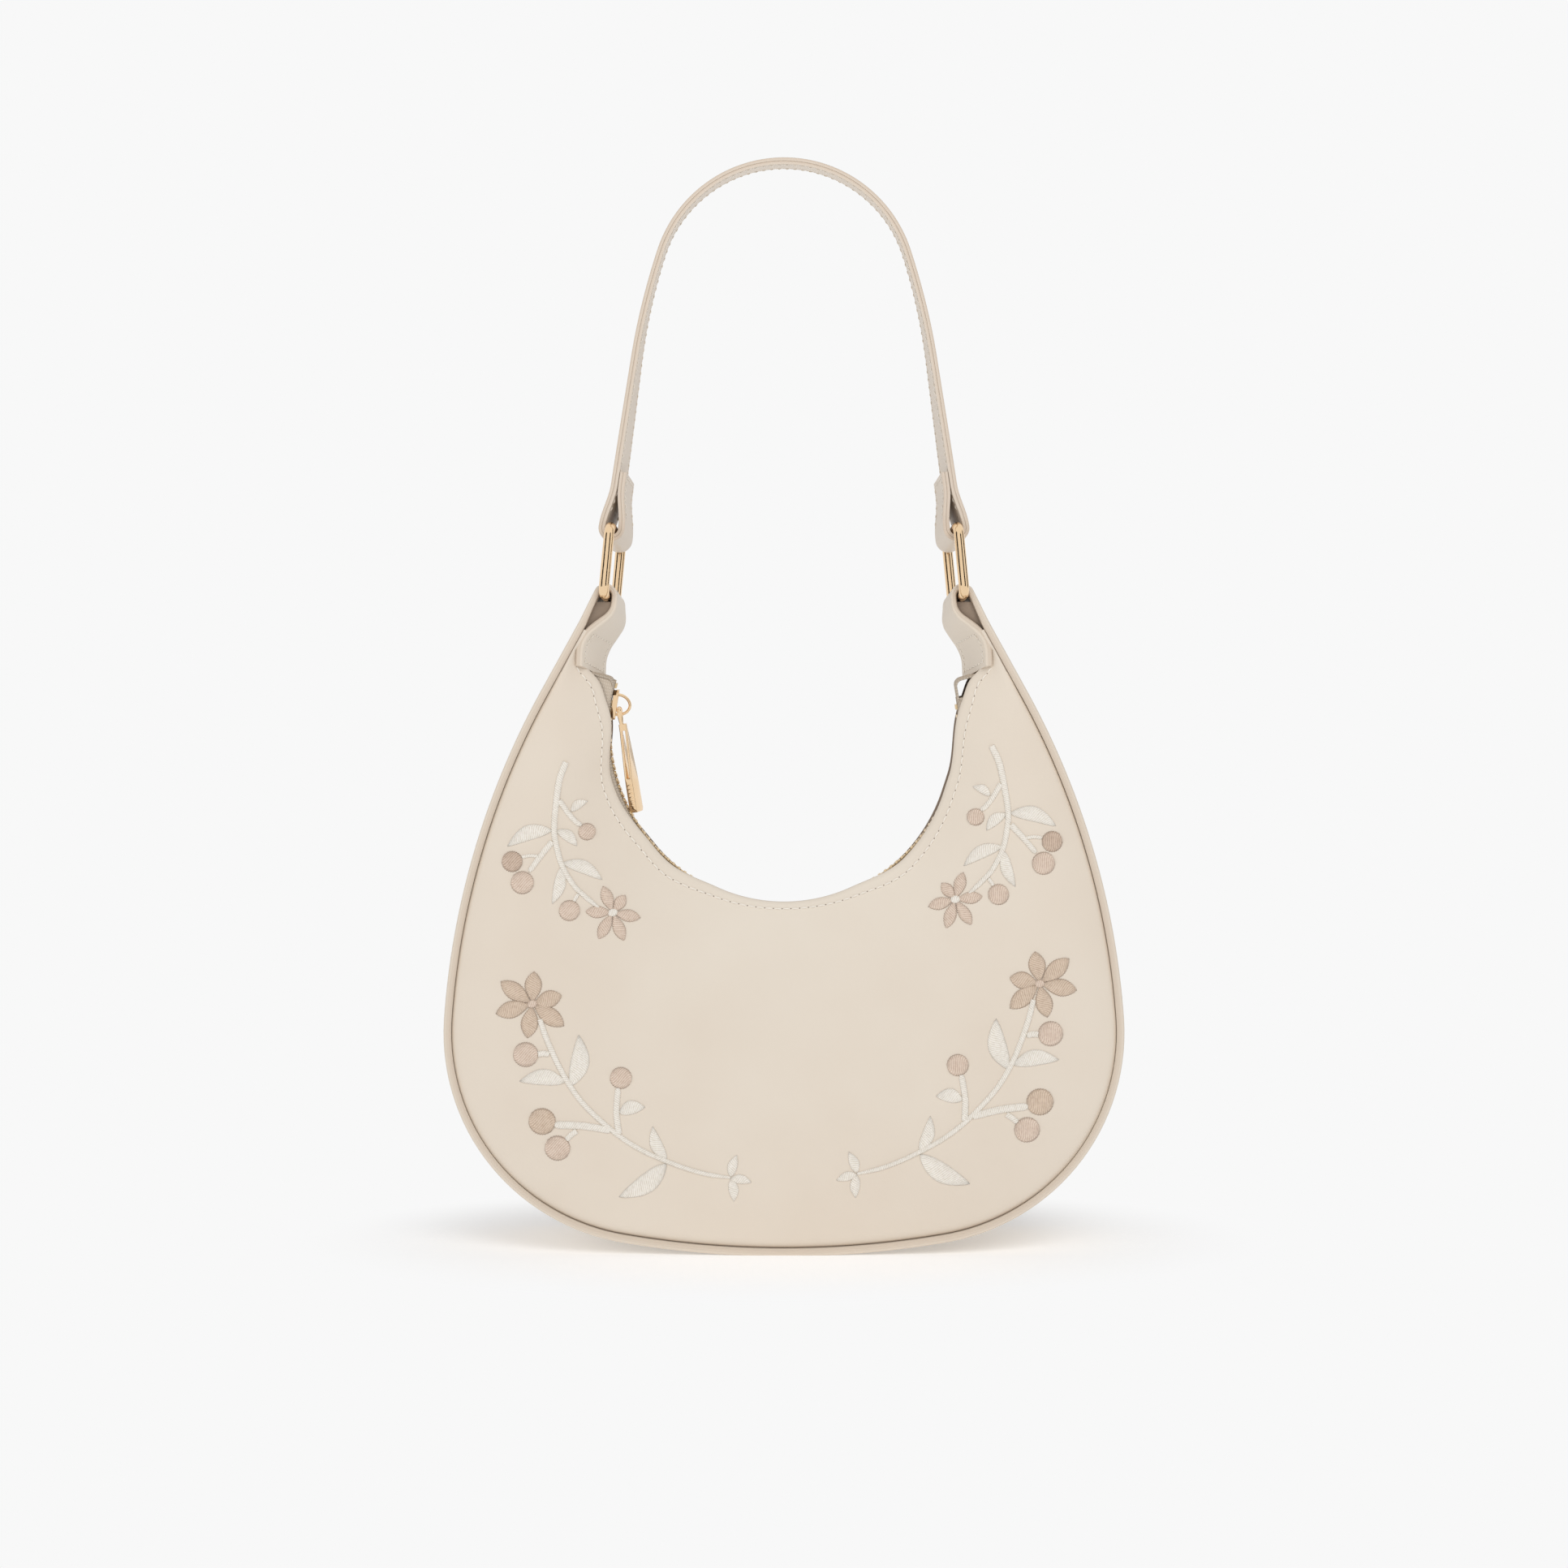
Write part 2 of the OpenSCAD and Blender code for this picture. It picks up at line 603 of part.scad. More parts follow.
// The radius over the top is the one that brings both halves together in the middle
top_r = (leg_foot[0] + leg_run * cos(leg_heading)
    + shoulder_r * (sin(shoulder_heading) - sin(leg_heading))) / sin(shoulder_heading);
leg_route = [
    [0, leg_run],
    [shoulder_r, arc_len(shoulder_r, shoulder_turn)],
    [top_r, arc_len(top_r, 180 - shoulder_heading)]];
settle_h = 110;

function strap_station(q, h) = let (t = 1 - ease(h / settle_h))
    [q[0], upper_bar[1] * t, q[1], strap_w / 2, layer_t / 2, ring_yaw * t, ring_tilt * t];
function drop(h) = leg_off + (loop_r - leg_off) * (1 + cos(180 * min(h / drop_h, 1))) / 2;
function beside_leg(off, h) = bar_xz + off * leg_out + h * leg_up;

strap_over = [for (i = [bend_steps:-1:0]) let (t = i / bend_steps,
    d = lerp(leg_run, route_len(leg_route), t), q = walk(leg_route, d, concat(leg_foot, leg_heading)))
    strap_station(q, d)];
strap_leg = [for (i = [leg_steps - 1:-1:1]) let (h = lerp(0, leg_run, i / leg_steps))
    strap_station(beside_leg(drop(h), h), h)];
strap_loop = [for (i = [0:wrap_steps]) let (a = -180 * i / wrap_steps)
    strap_station(bar_xz + loop_r * (cos(a) * leg_out + sin(a) * leg_up), 0)];
strap_turned = [for (i = [1:leg_steps / 2]) let (h = free_end * i / (leg_steps / 2))
    strap_station(beside_leg(-drop(h), h), h)];
strap_half = concat(strap_over, strap_leg, strap_loop, strap_turned);

module strap_layer(lift) {
    strap_bevel = 0.25;
    color(leather) bar(both_sides(strip_rings(strap_half, lift, strap_bevel)));
}

module strap_outer() {
    strap_layer(layer_lift);
}

module strap_facing() {
    strap_layer(-layer_lift);
}

gusset();
front_panel();
back_panel();
gusset_lining();
front_lining();
back_lining();
front_tape();
back_tape();
front_teeth();
back_teeth();
top_stops();
bottom_stop();
slider_body();
slider_crown();
puller();
left_ring();
right_ring();
strap_outer();
strap_facing();
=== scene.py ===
import math

import bpy
from mathutils import Matrix, Vector, noise
from mathutils.bvhtree import BVHTree


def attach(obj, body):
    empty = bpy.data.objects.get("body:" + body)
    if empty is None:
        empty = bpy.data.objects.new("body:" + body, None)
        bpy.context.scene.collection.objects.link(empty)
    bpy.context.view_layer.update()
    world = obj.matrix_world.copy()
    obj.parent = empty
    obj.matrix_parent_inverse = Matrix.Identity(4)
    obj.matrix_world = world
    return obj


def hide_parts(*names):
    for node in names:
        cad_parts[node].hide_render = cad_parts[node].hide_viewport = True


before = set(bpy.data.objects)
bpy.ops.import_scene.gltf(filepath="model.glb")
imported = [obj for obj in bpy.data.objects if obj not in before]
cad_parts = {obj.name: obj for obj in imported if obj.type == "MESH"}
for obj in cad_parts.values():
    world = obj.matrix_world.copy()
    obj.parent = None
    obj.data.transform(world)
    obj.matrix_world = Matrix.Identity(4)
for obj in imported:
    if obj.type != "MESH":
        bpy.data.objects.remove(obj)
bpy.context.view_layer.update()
bpy.ops.object.select_all(action="DESELECT")


# Studio: a pale floor that fades into a shadowless pale ground away from the bag, a broad soft
# light above the front right, a weaker one at the left, and the camera in front of the bag.
BACKGROUND = (0.939, 0.939, 0.939, 1)
FLOOR_SIZE = 24
FLOOR_GLOW = (0.218, 0.218, 0.218, 1)
FLOOR_REACH = (5.2, 9.0, 1)
AMBIENT = (0.40, 0.40, 0.405, 1)
CAMERA_AIM = Vector((0, 0, 0.179))
CAMERA_DISTANCE = 1.5
CAMERA_ELEVATION = math.radians(4.8)
LENS = 88.9


def new_material(name, **plain):
    """A material of this name, with numbers and colours for its main shader's own sockets."""
    material = bpy.data.materials.new(name)
    material.use_nodes = True
    tree = material.node_tree
    shader = tree.nodes["Principled BSDF"]
    for socket, value in plain.items():
        shader.inputs[socket.replace("_", " ")].default_value = value
    return material, tree.nodes, tree.links, shader


def add_node(nodes, kind, **settings):
    """A shader node with its settings, or with defaults for the input sockets of those names."""
    node = nodes.new("ShaderNode" + kind)
    for name, value in settings.items():
        if hasattr(node, name):
            setattr(node, name, value)
        else:
            node.inputs[name.replace("_", " ")].default_value = value
    return node


def connect(links, *joins):
    """Link shader nodes, each pair given as the first node, its output, the second, its input."""
    for source, output, target, socket in joins:
        links.new(source.outputs[output], target.inputs[socket])


bpy.ops.mesh.primitive_plane_add(size=FLOOR_SIZE)
floor = bpy.context.object
floor.name = "floor"
floor_paint, nodes, links, shader = new_material(
    "floor_paint", Base_Color=(0.95, 0.95, 0.95, 1), Roughness=1.0, Specular_IOR_Level=0.0,
    Emission_Color=FLOOR_GLOW, Emission_Strength=1.0,
)
place = add_node(nodes, "TexCoord")
spread = add_node(nodes, "Mapping", Scale=FLOOR_REACH)
reach = add_node(nodes, "VectorMath", operation="LENGTH")
fade = add_node(nodes, "MapRange", interpolation_type="SMOOTHSTEP", From_Min=0.5, From_Max=1.0)
ground = add_node(nodes, "Emission", Color=BACKGROUND)
mix = add_node(nodes, "MixShader")
connect(
    links,
    (place, "Object", spread, "Vector"), (spread, "Vector", reach, 0),
    (reach, "Value", fade, "Value"), (fade, "Result", mix, "Fac"),
    (shader, "BSDF", mix, 1), (ground, "Emission", mix, 2),
    (mix, "Shader", nodes["Material Output"], "Surface"),
)
floor.data.materials.append(floor_paint)

world = bpy.data.worlds.new("studio")
bpy.context.scene.world = world
world.use_nodes = True
nodes, links = world.node_tree.nodes, world.node_tree.links
ambient = nodes["Background"]
ambient.inputs["Color"].default_value = AMBIENT
backdrop = add_node(nodes, "Background", Color=BACKGROUND)
rays = add_node(nodes, "LightPath")
seen = add_node(nodes, "Math", operation="MAXIMUM")
seen_or_mirrored = add_node(nodes, "Math", operation="MAXIMUM")
mix = add_node(nodes, "MixShader")
connect(
    links,
    (rays, "Is Camera Ray", seen, 0), (rays, "Is Transmission Ray", seen, 1),
    (seen, "Value", seen_or_mirrored, 0), (rays, "Is Glossy Ray", seen_or_mirrored, 1),
    (seen_or_mirrored, "Value", mix, "Fac"),
    (ambient, "Background", mix, 1), (backdrop, "Background", mix, 2),
    (mix, "Shader", nodes["World Output"], "Surface"),
)

for name, at, aim, size, watts in (
    ("key_light", (0.5, -1.55, 1.4), (0, 0, 0.15), 1.1, 15.6),
    ("left_light", (-1.3, -1.5, 0.8), (0, 0, 0.2), 1.2, 7.4),
):
    bpy.ops.object.light_add(type="AREA", location=at)
    lamp = bpy.context.object
    lamp.name = name
    lamp.data.size = size
    lamp.data.energy = watts
    lamp.visible_glossy = False
    lamp.rotation_euler = (Vector(aim) - Vector(at)).to_track_quat("-Z", "Y").to_euler()

to_camera = Vector((0, -math.cos(CAMERA_ELEVATION), math.sin(CAMERA_ELEVATION)))
bpy.ops.object.camera_add(
    location=CAMERA_AIM + CAMERA_DISTANCE * to_camera,
    rotation=(math.radians(90) - CAMERA_ELEVATION, 0, 0),
)
bpy.context.object.data.lens = LENS
bpy.context.scene.camera = bpy.context.object
bpy.context.scene.view_settings.view_transform = "Standard"


# Gusset: one strip of stiff leather, folded with its edges in and glued, that runs from ring to
# ring under the bag. Its edges are the rim of the panels, and its ends go up as tabs, round the
# rings and back down inside the horns. The base is pressed flat where the bag stands.
GUSSET_T = 2.9
BASE_DEPTH = 60.0
BASE_SUNK = 0.5
TAB_W = 25.0
TAB_T, TAB_END_T = 2.2, 3.0
SEAM_GAP = 0.3
WIRE_R = 2.0
LOOP_PLAY = 0.5
BAR_IN, BAR_UP = 11.0, 7.2
RING_YAW, RING_TILT, RING_LEAN = 5.0, 12.0, 4.0
TAB_END_YAW, TAB_END_TILT = 20.0, 15.0
BODY_STEPS, RISE_STEPS, WRAP_STEPS, FALL_STEPS = 85, 6, 20, 28


def ease(t):
    """A smooth step from 0 to 1."""
    t = max(0, min(1, t))
    return t * t * (3 - 2 * t)


def lerp(a, b, t):
    return a + (b - a) * t


def arc(radius, degrees):
    """A stretch of a route that turns left by degrees, or right with a negative radius."""
    return (radius, math.radians(degrees) * abs(radius))


def length_of(route):
    return sum(length for radius, length in route)


def step_on(p, radius, d):
    """A step of length d along a line (radius 0) or an arc, from (x, z, heading in degrees)."""
    x, z, heading = p
    h = math.radians(heading)
    if radius == 0:
        return (x + d * math.cos(h), z + d * math.sin(h), heading)
    turned = h + d / radius
    return (
        x + radius * (math.sin(turned) - math.sin(h)),
        z - radius * (math.cos(turned) - math.cos(h)),
        math.degrees(turned),
    )


def walk(route, d, p):
    """The place at a length d along a route that starts at p."""
    for radius, length in route[:-1]:
        if d <= length:
            return step_on(p, radius, d)
        p = step_on(p, radius, length)
        d -= length
    return step_on(p, route[-1][0], d)


def beside(p, off):
    """The point at a distance off to the left of a place on a route."""
    h = math.radians(p[2])
    return (p[0] - off * math.sin(h), p[1] + off * math.cos(h))


OUTLINE = [arc(360, 10), arc(82, 84), arc(300, 25), (0, 30.5)]
OUTLINE_L = length_of(OUTLINE)
NARROW_FROM = OUTLINE[0][1] + OUTLINE[1][1] / 2


def outline(d):
    """The bag's outer line, from the middle of the base up to the right horn."""
    return walk(OUTLINE, d, (0, -BASE_SUNK, 0))


def half_depth(d):
    return lerp(BASE_DEPTH, TAB_W, ease((d - NARROW_FROM) / (OUTLINE_L - NARROW_FROM))) / 2


def across(yaw, tilt):
    """The direction across a strip that is turned about the vertical and tilted sideways."""
    a, b = math.radians(yaw), math.radians(tilt)
    return Vector((-math.sin(a) * math.cos(b), math.cos(a) * math.cos(b), -math.sin(b)))


def stance(line, i):
    """The middle, the direction across and the normal of a strip at its station i."""
    w = across(line[i][5], line[i][6])
    ahead = Vector(line[min(i + 1, len(line) - 1)][:3]) - Vector(line[max(i - 1, 0)][:3])
    return Vector(line[i][:3]), w, ahead.cross(w).normalized()


def only(piece):
    """Select a piece alone and make it the active one."""
    bpy.ops.object.select_all(action="DESELECT")
    piece.select_set(True)
    bpy.context.view_layer.objects.active = piece


def loft(name, rings, marks=None, size=(1, 1)):
    """A closed skin over rings of points in millimetres. marks gives each point's "shade" from 0
    to 1, and size is the length of the skin's map across and along, in metres."""
    rows, cols = len(rings), len(rings[0])
    bpy.ops.object.select_all(action="DESELECT")
    bpy.ops.mesh.primitive_grid_add(x_subdivisions=cols, y_subdivisions=rows - 1, size=1, calc_uvs=True)
    piece = bpy.context.object
    piece.name = name
    shade = piece.data.attributes.new("shade", "FLOAT", "POINT")
    for v in piece.data.vertices:
        i, j = round((v.co.y + 0.5) * (rows - 1)), round((v.co.x + 0.5) * cols) % cols
        v.co = Vector(rings[i][j]) * 0.001
        if marks:
            shade.data[v.index].value = marks[i][j]
    for corner in piece.data.uv_layers.active.data:
        corner.uv = (corner.uv[0] * size[0], corner.uv[1] * size[1])
    bpy.ops.object.mode_set(mode="EDIT")
    bpy.ops.mesh.select_all(action="SELECT")
    bpy.ops.mesh.remove_doubles(threshold=1e-7)
    bpy.ops.mesh.select_all(action="DESELECT")
    bpy.ops.mesh.select_non_manifold()
    bpy.ops.mesh.fill_holes(sides=0)
    bpy.ops.mesh.select_all(action="SELECT")
    bpy.ops.mesh.normals_make_consistent(inside=False)
    bpy.ops.object.mode_set(mode="OBJECT")
    return piece


def strip_section(half_w, half_t, corner, crease, wide=12, steps=4):
    """Section of a strip as (off its middle, across, shade), with rounded corners and a crease
    along both narrow sides, whose inner half is shaded."""
    points = []
    for sx, sy, start in ((-1, -1, 180), (1, -1, 270), (1, 1, 0), (-1, 1, 90)):
        for k in range(steps + 1):
            a = math.radians(start + 90 * k / steps)
            x = sx * (half_t - corner) + corner * math.cos(a)
            y = sy * (half_w - corner) + corner * math.sin(a)
            turned = ease((abs(y) - half_w + corner) / corner)
            points.append((x, y, turned * lerp(0.3, 1, ease(x / half_t + 0.5))))
        if sx == sy:
            for off, deep in ((-0.22, 0.2), (0, 1), (0.22, 0.2)):
                points.append((-sx * off * half_t, sy * (half_w - crease * deep), 0.7))
        else:
            for k in range(1, wide):
                points.append((sx * half_t, sy * (half_w - corner) * (1 - 2 * k / wide), 0))
    return points


def strip(name, stations, corner, crease=0.0, lift=0.0, size=(1, 1), both_sides=False, on_floor=False):
    """A strip over stations (x, y, z, half width, half thickness, yaw, tilt), at the right or
    across both sides of the bag. lift, a number or one per station, moves it along its normal."""
    lifts = lift if isinstance(lift, list) else [lift] * len(stations)
    rings, marks = [], []
    for i, s in enumerate(stations):
        middle, w, n = stance(stations, i)
        middle += lifts[i] * n
        section = strip_section(s[3], s[4], corner, crease)
        rings.append([middle + off * n + y * w for off, y, shade in section])
        marks.append([shade for off, y, shade in section])
    if both_sides:
        left = [[Vector((-p.x, p.y, p.z)) for p in ring] for ring in reversed(rings)]
        rings, marks = left + rings[1:], marks[::-1] + marks[1:]
    if on_floor:
        for ring in rings:
            for p in ring:
                p.z = max(p.z, 0)
    return loft(name, rings, marks, size)


def smooth(piece, angle):
    """Shade a piece smooth, but for the edges that turn by more than an angle."""
    only(piece)
    bpy.ops.object.shade_smooth_by_angle(angle=math.radians(angle))


def finish_piece(piece, angle, material, slot, body, *nodes):
    """Give a piece its smoothing, where it has an angle, its material, body and nodes. slot is not used."""
    if angle:
        smooth(piece, angle)
    piece.data.materials.append(material)
    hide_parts(*nodes)
    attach(piece, body)


horn_tip = outline(OUTLINE_L)
horn_mid = beside(horn_tip, GUSSET_T / 2)
lower_bar = Vector((horn_tip[0] - BAR_IN, 0, horn_tip[1] + BAR_UP))
TAB_WRAP_R = WIRE_R + LOOP_PLAY + TAB_T / 2
to_bar = Vector((lower_bar.x - horn_mid[0], lower_bar.z - horn_mid[1]))
wrap_from = math.degrees(math.atan2(to_bar.y, to_bar.x) - math.asin(TAB_WRAP_R / to_bar.length))
TAB = [(0, 3.5), arc(8, 44), (0, 6), arc(-14, 42), (0, 5)]


def round_bar(heading):
    """The middle of the tab where it goes round the ring's lower bar with this heading."""
    h = math.radians(heading)
    return (lower_bar.x + TAB_WRAP_R * math.sin(h), lower_bar.z - TAB_WRAP_R * math.cos(h))


body_line, rise_line, wrap_line, fall_line = [], [], [], []
for i in range(BODY_STEPS + 1):
    d = OUTLINE_L * i / BODY_STEPS
    x, z = beside(outline(d), GUSSET_T / 2)
    body_line.append((x, 0, z, half_depth(d), GUSSET_T / 2, 0, 0))
x, z = round_bar(wrap_from)
for i in range(1, RISE_STEPS):
    t = i / RISE_STEPS
    rise_line.append((
        lerp(horn_mid[0], x, t), 0, lerp(horn_mid[1], z, t),
        TAB_W / 2, lerp(GUSSET_T, TAB_T, t) / 2, RING_YAW * t, RING_TILT * t,
    ))
for i in range(WRAP_STEPS + 1):
    x, z = round_bar(lerp(wrap_from, 270, i / WRAP_STEPS))
    wrap_line.append((x, 0, z, TAB_W / 2, TAB_T / 2, RING_YAW, RING_TILT))
for i in range(1, FALL_STEPS + 1):
    t = i / FALL_STEPS
    thick = lerp(TAB_T, TAB_END_T, ease(2 * t))
    at = walk(TAB, t * length_of(TAB), (lower_bar.x - TAB_WRAP_R, lower_bar.z, 270))
    x, z = beside(at, (thick - TAB_T) / 2)
    turned = lerp(RING_YAW, TAB_END_YAW, ease(1.5 * t))
    fall_line.append((x, 0, z, TAB_W / 2, thick / 2, turned, lerp(RING_TILT, TAB_END_TILT, t)))
gusset_line = body_line + rise_line + wrap_line + fall_line
gusset = strip("gusset_strip", gusset_line, 0.8, 0.14, size=(0.11, 0.9), both_sides=True, on_floor=True)


def new_group(name, given, made):
    """A shader node group with number inputs and outputs of these names, and its two ends."""
    group = bpy.data.node_groups.new(name, "ShaderNodeTree")
    for socket in given:
        group.interface.new_socket(socket, in_out="INPUT", socket_type="NodeSocketFloat")
    for socket in made:
        group.interface.new_socket(socket, in_out="OUTPUT", socket_type="NodeSocketFloat")
    start = group.nodes.new("NodeGroupInput") if given else None
    return group, group.nodes, group.links, start, group.nodes.new("NodeGroupOutput")


# Leather grain: pores and creases for the bump, and a Tone of random clouds plus painted shade, the Shading
# input, that darkens the leather away from a point in the middle of the bag.
grain, nodes, links, given, made = new_group("leather_grain", ("Pore Scale", "Tan"), ("Height", "Tone"))
place = add_node(nodes, "TexCoord")
pores = add_node(nodes, "TexVoronoi", feature="SMOOTH_F1")
creases = add_node(nodes, "TexNoise", Scale=420.0, Detail=5.0)
clouds = add_node(nodes, "TexNoise", Scale=22.0, Detail=3.0)
height = add_node(nodes, "Math", operation="MULTIPLY_ADD")
height.inputs[1].default_value = 0.45
tone = add_node(nodes, "MapRange", From_Min=0.3, From_Max=0.7, To_Max=0.45)
from_middle = add_node(nodes, "Mapping", Location=(0, 0, -0.15))
away = add_node(nodes, "VectorMath", operation="LENGTH")
falloff_shade = add_node(nodes, "MapRange", interpolation_type="SMOOTHSTEP", From_Min=0.01, From_Max=0.12)
mottle_and_shade = add_node(nodes, "Math", operation="MULTIPLY_ADD", use_clamp=True)
connect(
    links,
    (place, "Object", pores, "Vector"), (place, "Object", creases, "Vector"),
    (place, "Object", clouds, "Vector"), (place, "Object", from_middle, "Vector"),
    (given, "Pore Scale", pores, "Scale"), (pores, "Distance", height, 0), (creases, "Fac", height, 2),
    (clouds, "Fac", tone, "Value"), (from_middle, "Vector", away, 0), (away, "Value", falloff_shade, "Value"),
    (falloff_shade, "Result", mottle_and_shade, 0), (given, "Tan", mottle_and_shade, 1), (tone, "Result", mottle_and_shade, 2),
    (height, "Value", made, "Height"), (mottle_and_shade, "Value", made, "Tone"),
)


def colour_and_shade(nodes, links, shader, mottle_and_shade, first, second, edge=None):
    """Colour a shader from first to second by mottle_and_shade, and to the edge colour by its shade
    attribute. The edge colour is edge paint on some pieces and painted shade on others.
    """
    colour = add_node(nodes, "Mix", data_type="RGBA", A=(*first, 1), B=(*second, 1))
    links.new(mottle_and_shade, colour.inputs["Factor"])
    if edge:
        paint = add_node(nodes, "Mix", data_type="RGBA", B=(*edge, 1))
        shade = add_node(nodes, "Attribute", attribute_name="shade")
        connect(links, (colour, "Result", paint, "A"), (shade, "Fac", paint, "Factor"))
        colour = paint
    connect(links, (colour, "Result", shader, "Base Color"))


def emboss(nodes, links, shader, height, strength, distance):
    """Raise the surface of a shader by a height."""
    relief = add_node(nodes, "Bump", Strength=strength, Distance=distance)
    links.new(height, relief.inputs["Height"])
    connect(links, (relief, "Normal", shader, "Normal"))


def make_leather(name, light, dark, edge, pores, bump, falloff_shade=0.0, **plain):
    """Leather with a mottled colour and fine grain. The shade of a piece turns it to its edge colour:
    edge paint on the strips, painted shade in the panels' seam groove. falloff_shade is painted shade
    that darkens the leather away from the middle of the bag."""
    material, nodes, links, shader = new_material(name, **plain)
    skin = add_node(nodes, "Group", node_tree=grain, Pore_Scale=pores, Tan=falloff_shade)
    gloss = add_node(nodes, "MapRange", To_Min=0.44, To_Max=0.54)
    connect(links, (skin, "Tone", gloss, "Value"), (gloss, "Result", shader, "Roughness"))
    colour_and_shade(nodes, links, shader, skin.outputs["Tone"], light, dark, edge)
    emboss(nodes, links, shader, skin.outputs["Height"], bump, 0.0001)
    return material


ivory_leather = make_leather(
    "ivory_leather", (0.765, 0.680, 0.575), (0.735, 0.640, 0.530), (0.640, 0.535, 0.430), 1500.0, 0.35,
)
finish_piece(gusset, 50, ivory_leather, "leather", "bag", "gusset")


# Flesh side of the tabs: inside the loops the strip shows its raw brown back, and a wedge of
# the same raw leather is glued between the end of the tab and the strip.
BACK_HALF_T = 0.12
WEDGE_SINK, WEDGE_REACH = 0.3, 0.9
WEDGE_Y = (-10.6, -4, 2)
TO_LEFT = Matrix.Scale(-1, 4, (1, 0, 0))


def put_left(piece):
    """Mirror a piece of the right side to the left side of the bag."""
    piece.data.transform(TO_LEFT)
    piece.data.flip_normals()


flesh_leather = make_leather(
    "raw_leather_back", (0.34, 0.26, 0.195), (0.13, 0.09, 0.065), (0.30, 0.22, 0.16), 700.0, 1.0,
    Specular_IOR_Level=0.25,
)
loop_line = gusset_line[80:-6]
back_line = [(*s[:3], s[3] - 0.8, BACK_HALF_T, *s[5:]) for s in loop_line]
back_lift = [s[4] + 0.09 for s in loop_line]
strip_side = [beside(outline(OUTLINE_L - 16 + 0.5 * k), GUSSET_T - WEDGE_SINK) for k in range(33)]
x, z = strip_side[-1]
top = rise_line[-1]
strip_side += [(lerp(x, top[0] - 1, k / 8), lerp(z, top[2], k / 8)) for k in range(1, 8)]
wedge_line = []
for i in range(1, FALL_STEPS - 4):
    middle, w, n = stance(fall_line, i)
    near_side, far_side = [], []
    for y in WEDGE_Y:
        near = middle + (fall_line[i][4] - WEDGE_SINK) * n + y * w
        far = min(strip_side, key=lambda q: abs(q[1] - near.z))
        near_side.append(near)
        far_side.append(Vector((far[0] + WEDGE_REACH, near.y, near.z)))
    wedge_line.append(near_side + far_side[::-1])
for side, name in ((1, "right"), (-1, "left")):
    backing = strip("tab_back_" + name, back_line, 0.9 * BACK_HALF_T, lift=back_lift)
    wedge = loft("tab_wedge_" + name, wedge_line)
    for piece in (backing, wedge):
        if side < 0:
            put_left(piece)
        finish_piece(piece, 50, flesh_leather, "leather", "bag")


# Front and back panels: half-moons of supple leather, turned in at the opening and sewn inside
# the rim of the gusset, where their edges roll down into a groove. Painted shade, a dark brown on
# the panels' edges, darkens the groove, most along the base. The opening's edge goes in at the
# horns, out beside the puller, and stands higher in the middle of the front.
PANEL_T = 1.4
PANEL_END = OUTLINE_L - 10.5
PANEL_TOP = OUTLINE_L - 2.0
ROOT_OFF = GUSSET_T + 0.12
EDGE = [arc(64.5, 72.2), (0, 57.6)]
EDGE_L = length_of(EDGE)
EDGE_Z = 131.2
EDGE_Y, TIP_Y = 7.2, 10.2
HORNS_IN, PULLER_OUT, FRONT_UP = 4.2, 3.2, 2.7
SHIFT_RUN = 13.6
FRONT_LAG, BACK_LEAD = 0.8, 2.0
BELLY = 4.0
NEAR_SEAM = [0, 0.25, 0.5, 0.9, 1.5, 2.4, 4, 7]
NEAR_EDGE = [7, 5.2, 4, 3, 2.2, 1.5, 0.9, 0.4, 0]


def opening(e, side):
    """The edge of the opening at a length e from its middle, negative at the slider's side."""
    outward = PULLER_OUT * math.sin(math.pi * max(0, min(1, (-e - 58) / 56))) ** 2
    e = abs(e)
    inward = HORNS_IN * ease((e - 88) / 26) * ease((EDGE_L - e) / 16) - outward
    if side < 0:
        inward += FRONT_UP * ease((52 - e) / 24)
    x, z = beside(walk(EDGE, e, (0, EDGE_Z, 0)), inward)
    shift = math.sin(math.pi * max(e - EDGE_L + SHIFT_RUN, 0) / SHIFT_RUN) ** 2
    return (x + (-BACK_LEAD if side > 0 else FRONT_LAG) * shift, z)


def panel_point(d, u, side):
    """A point of a panel at a length d along the seam, negative at the left, from the seam (u is
    0) to the opening's edge (1). Past PANEL_END the panel narrows to its tip behind the tab."""
    a = abs(d)
    s = beside(outline(a), ROOT_OFF)
    e = opening(math.copysign(min(a / PANEL_END, 1) * EDGE_L, d), side)
    edge_y = EDGE_Y
    if a > PANEL_END:
        t = (a - PANEL_END) / (PANEL_TOP - PANEL_END)
        root = beside(outline(PANEL_END), ROOT_OFF)
        reach = 1 + 0.7 * math.sin(math.pi * min(t, 0.5))
        e = (s[0] + reach * (e[0] - root[0]), s[1] + reach * (e[1] - root[1]) + 0.6 * t)
        edge_y = lerp(EDGE_Y, TIP_Y, ease(t))
    belly = BELLY * math.sin(math.pi * u) * (1 - (a / OUTLINE_L) ** 2)
    y = lerp(half_depth(a) - 1, edge_y, u**1.8) + belly
    return Vector((math.copysign(lerp(s[0], e[0], u), d), side * y, lerp(s[1], e[1], u)))


def panel_width(d, side):
    return (panel_point(d, 1, side) - panel_point(d, 0, side)).length


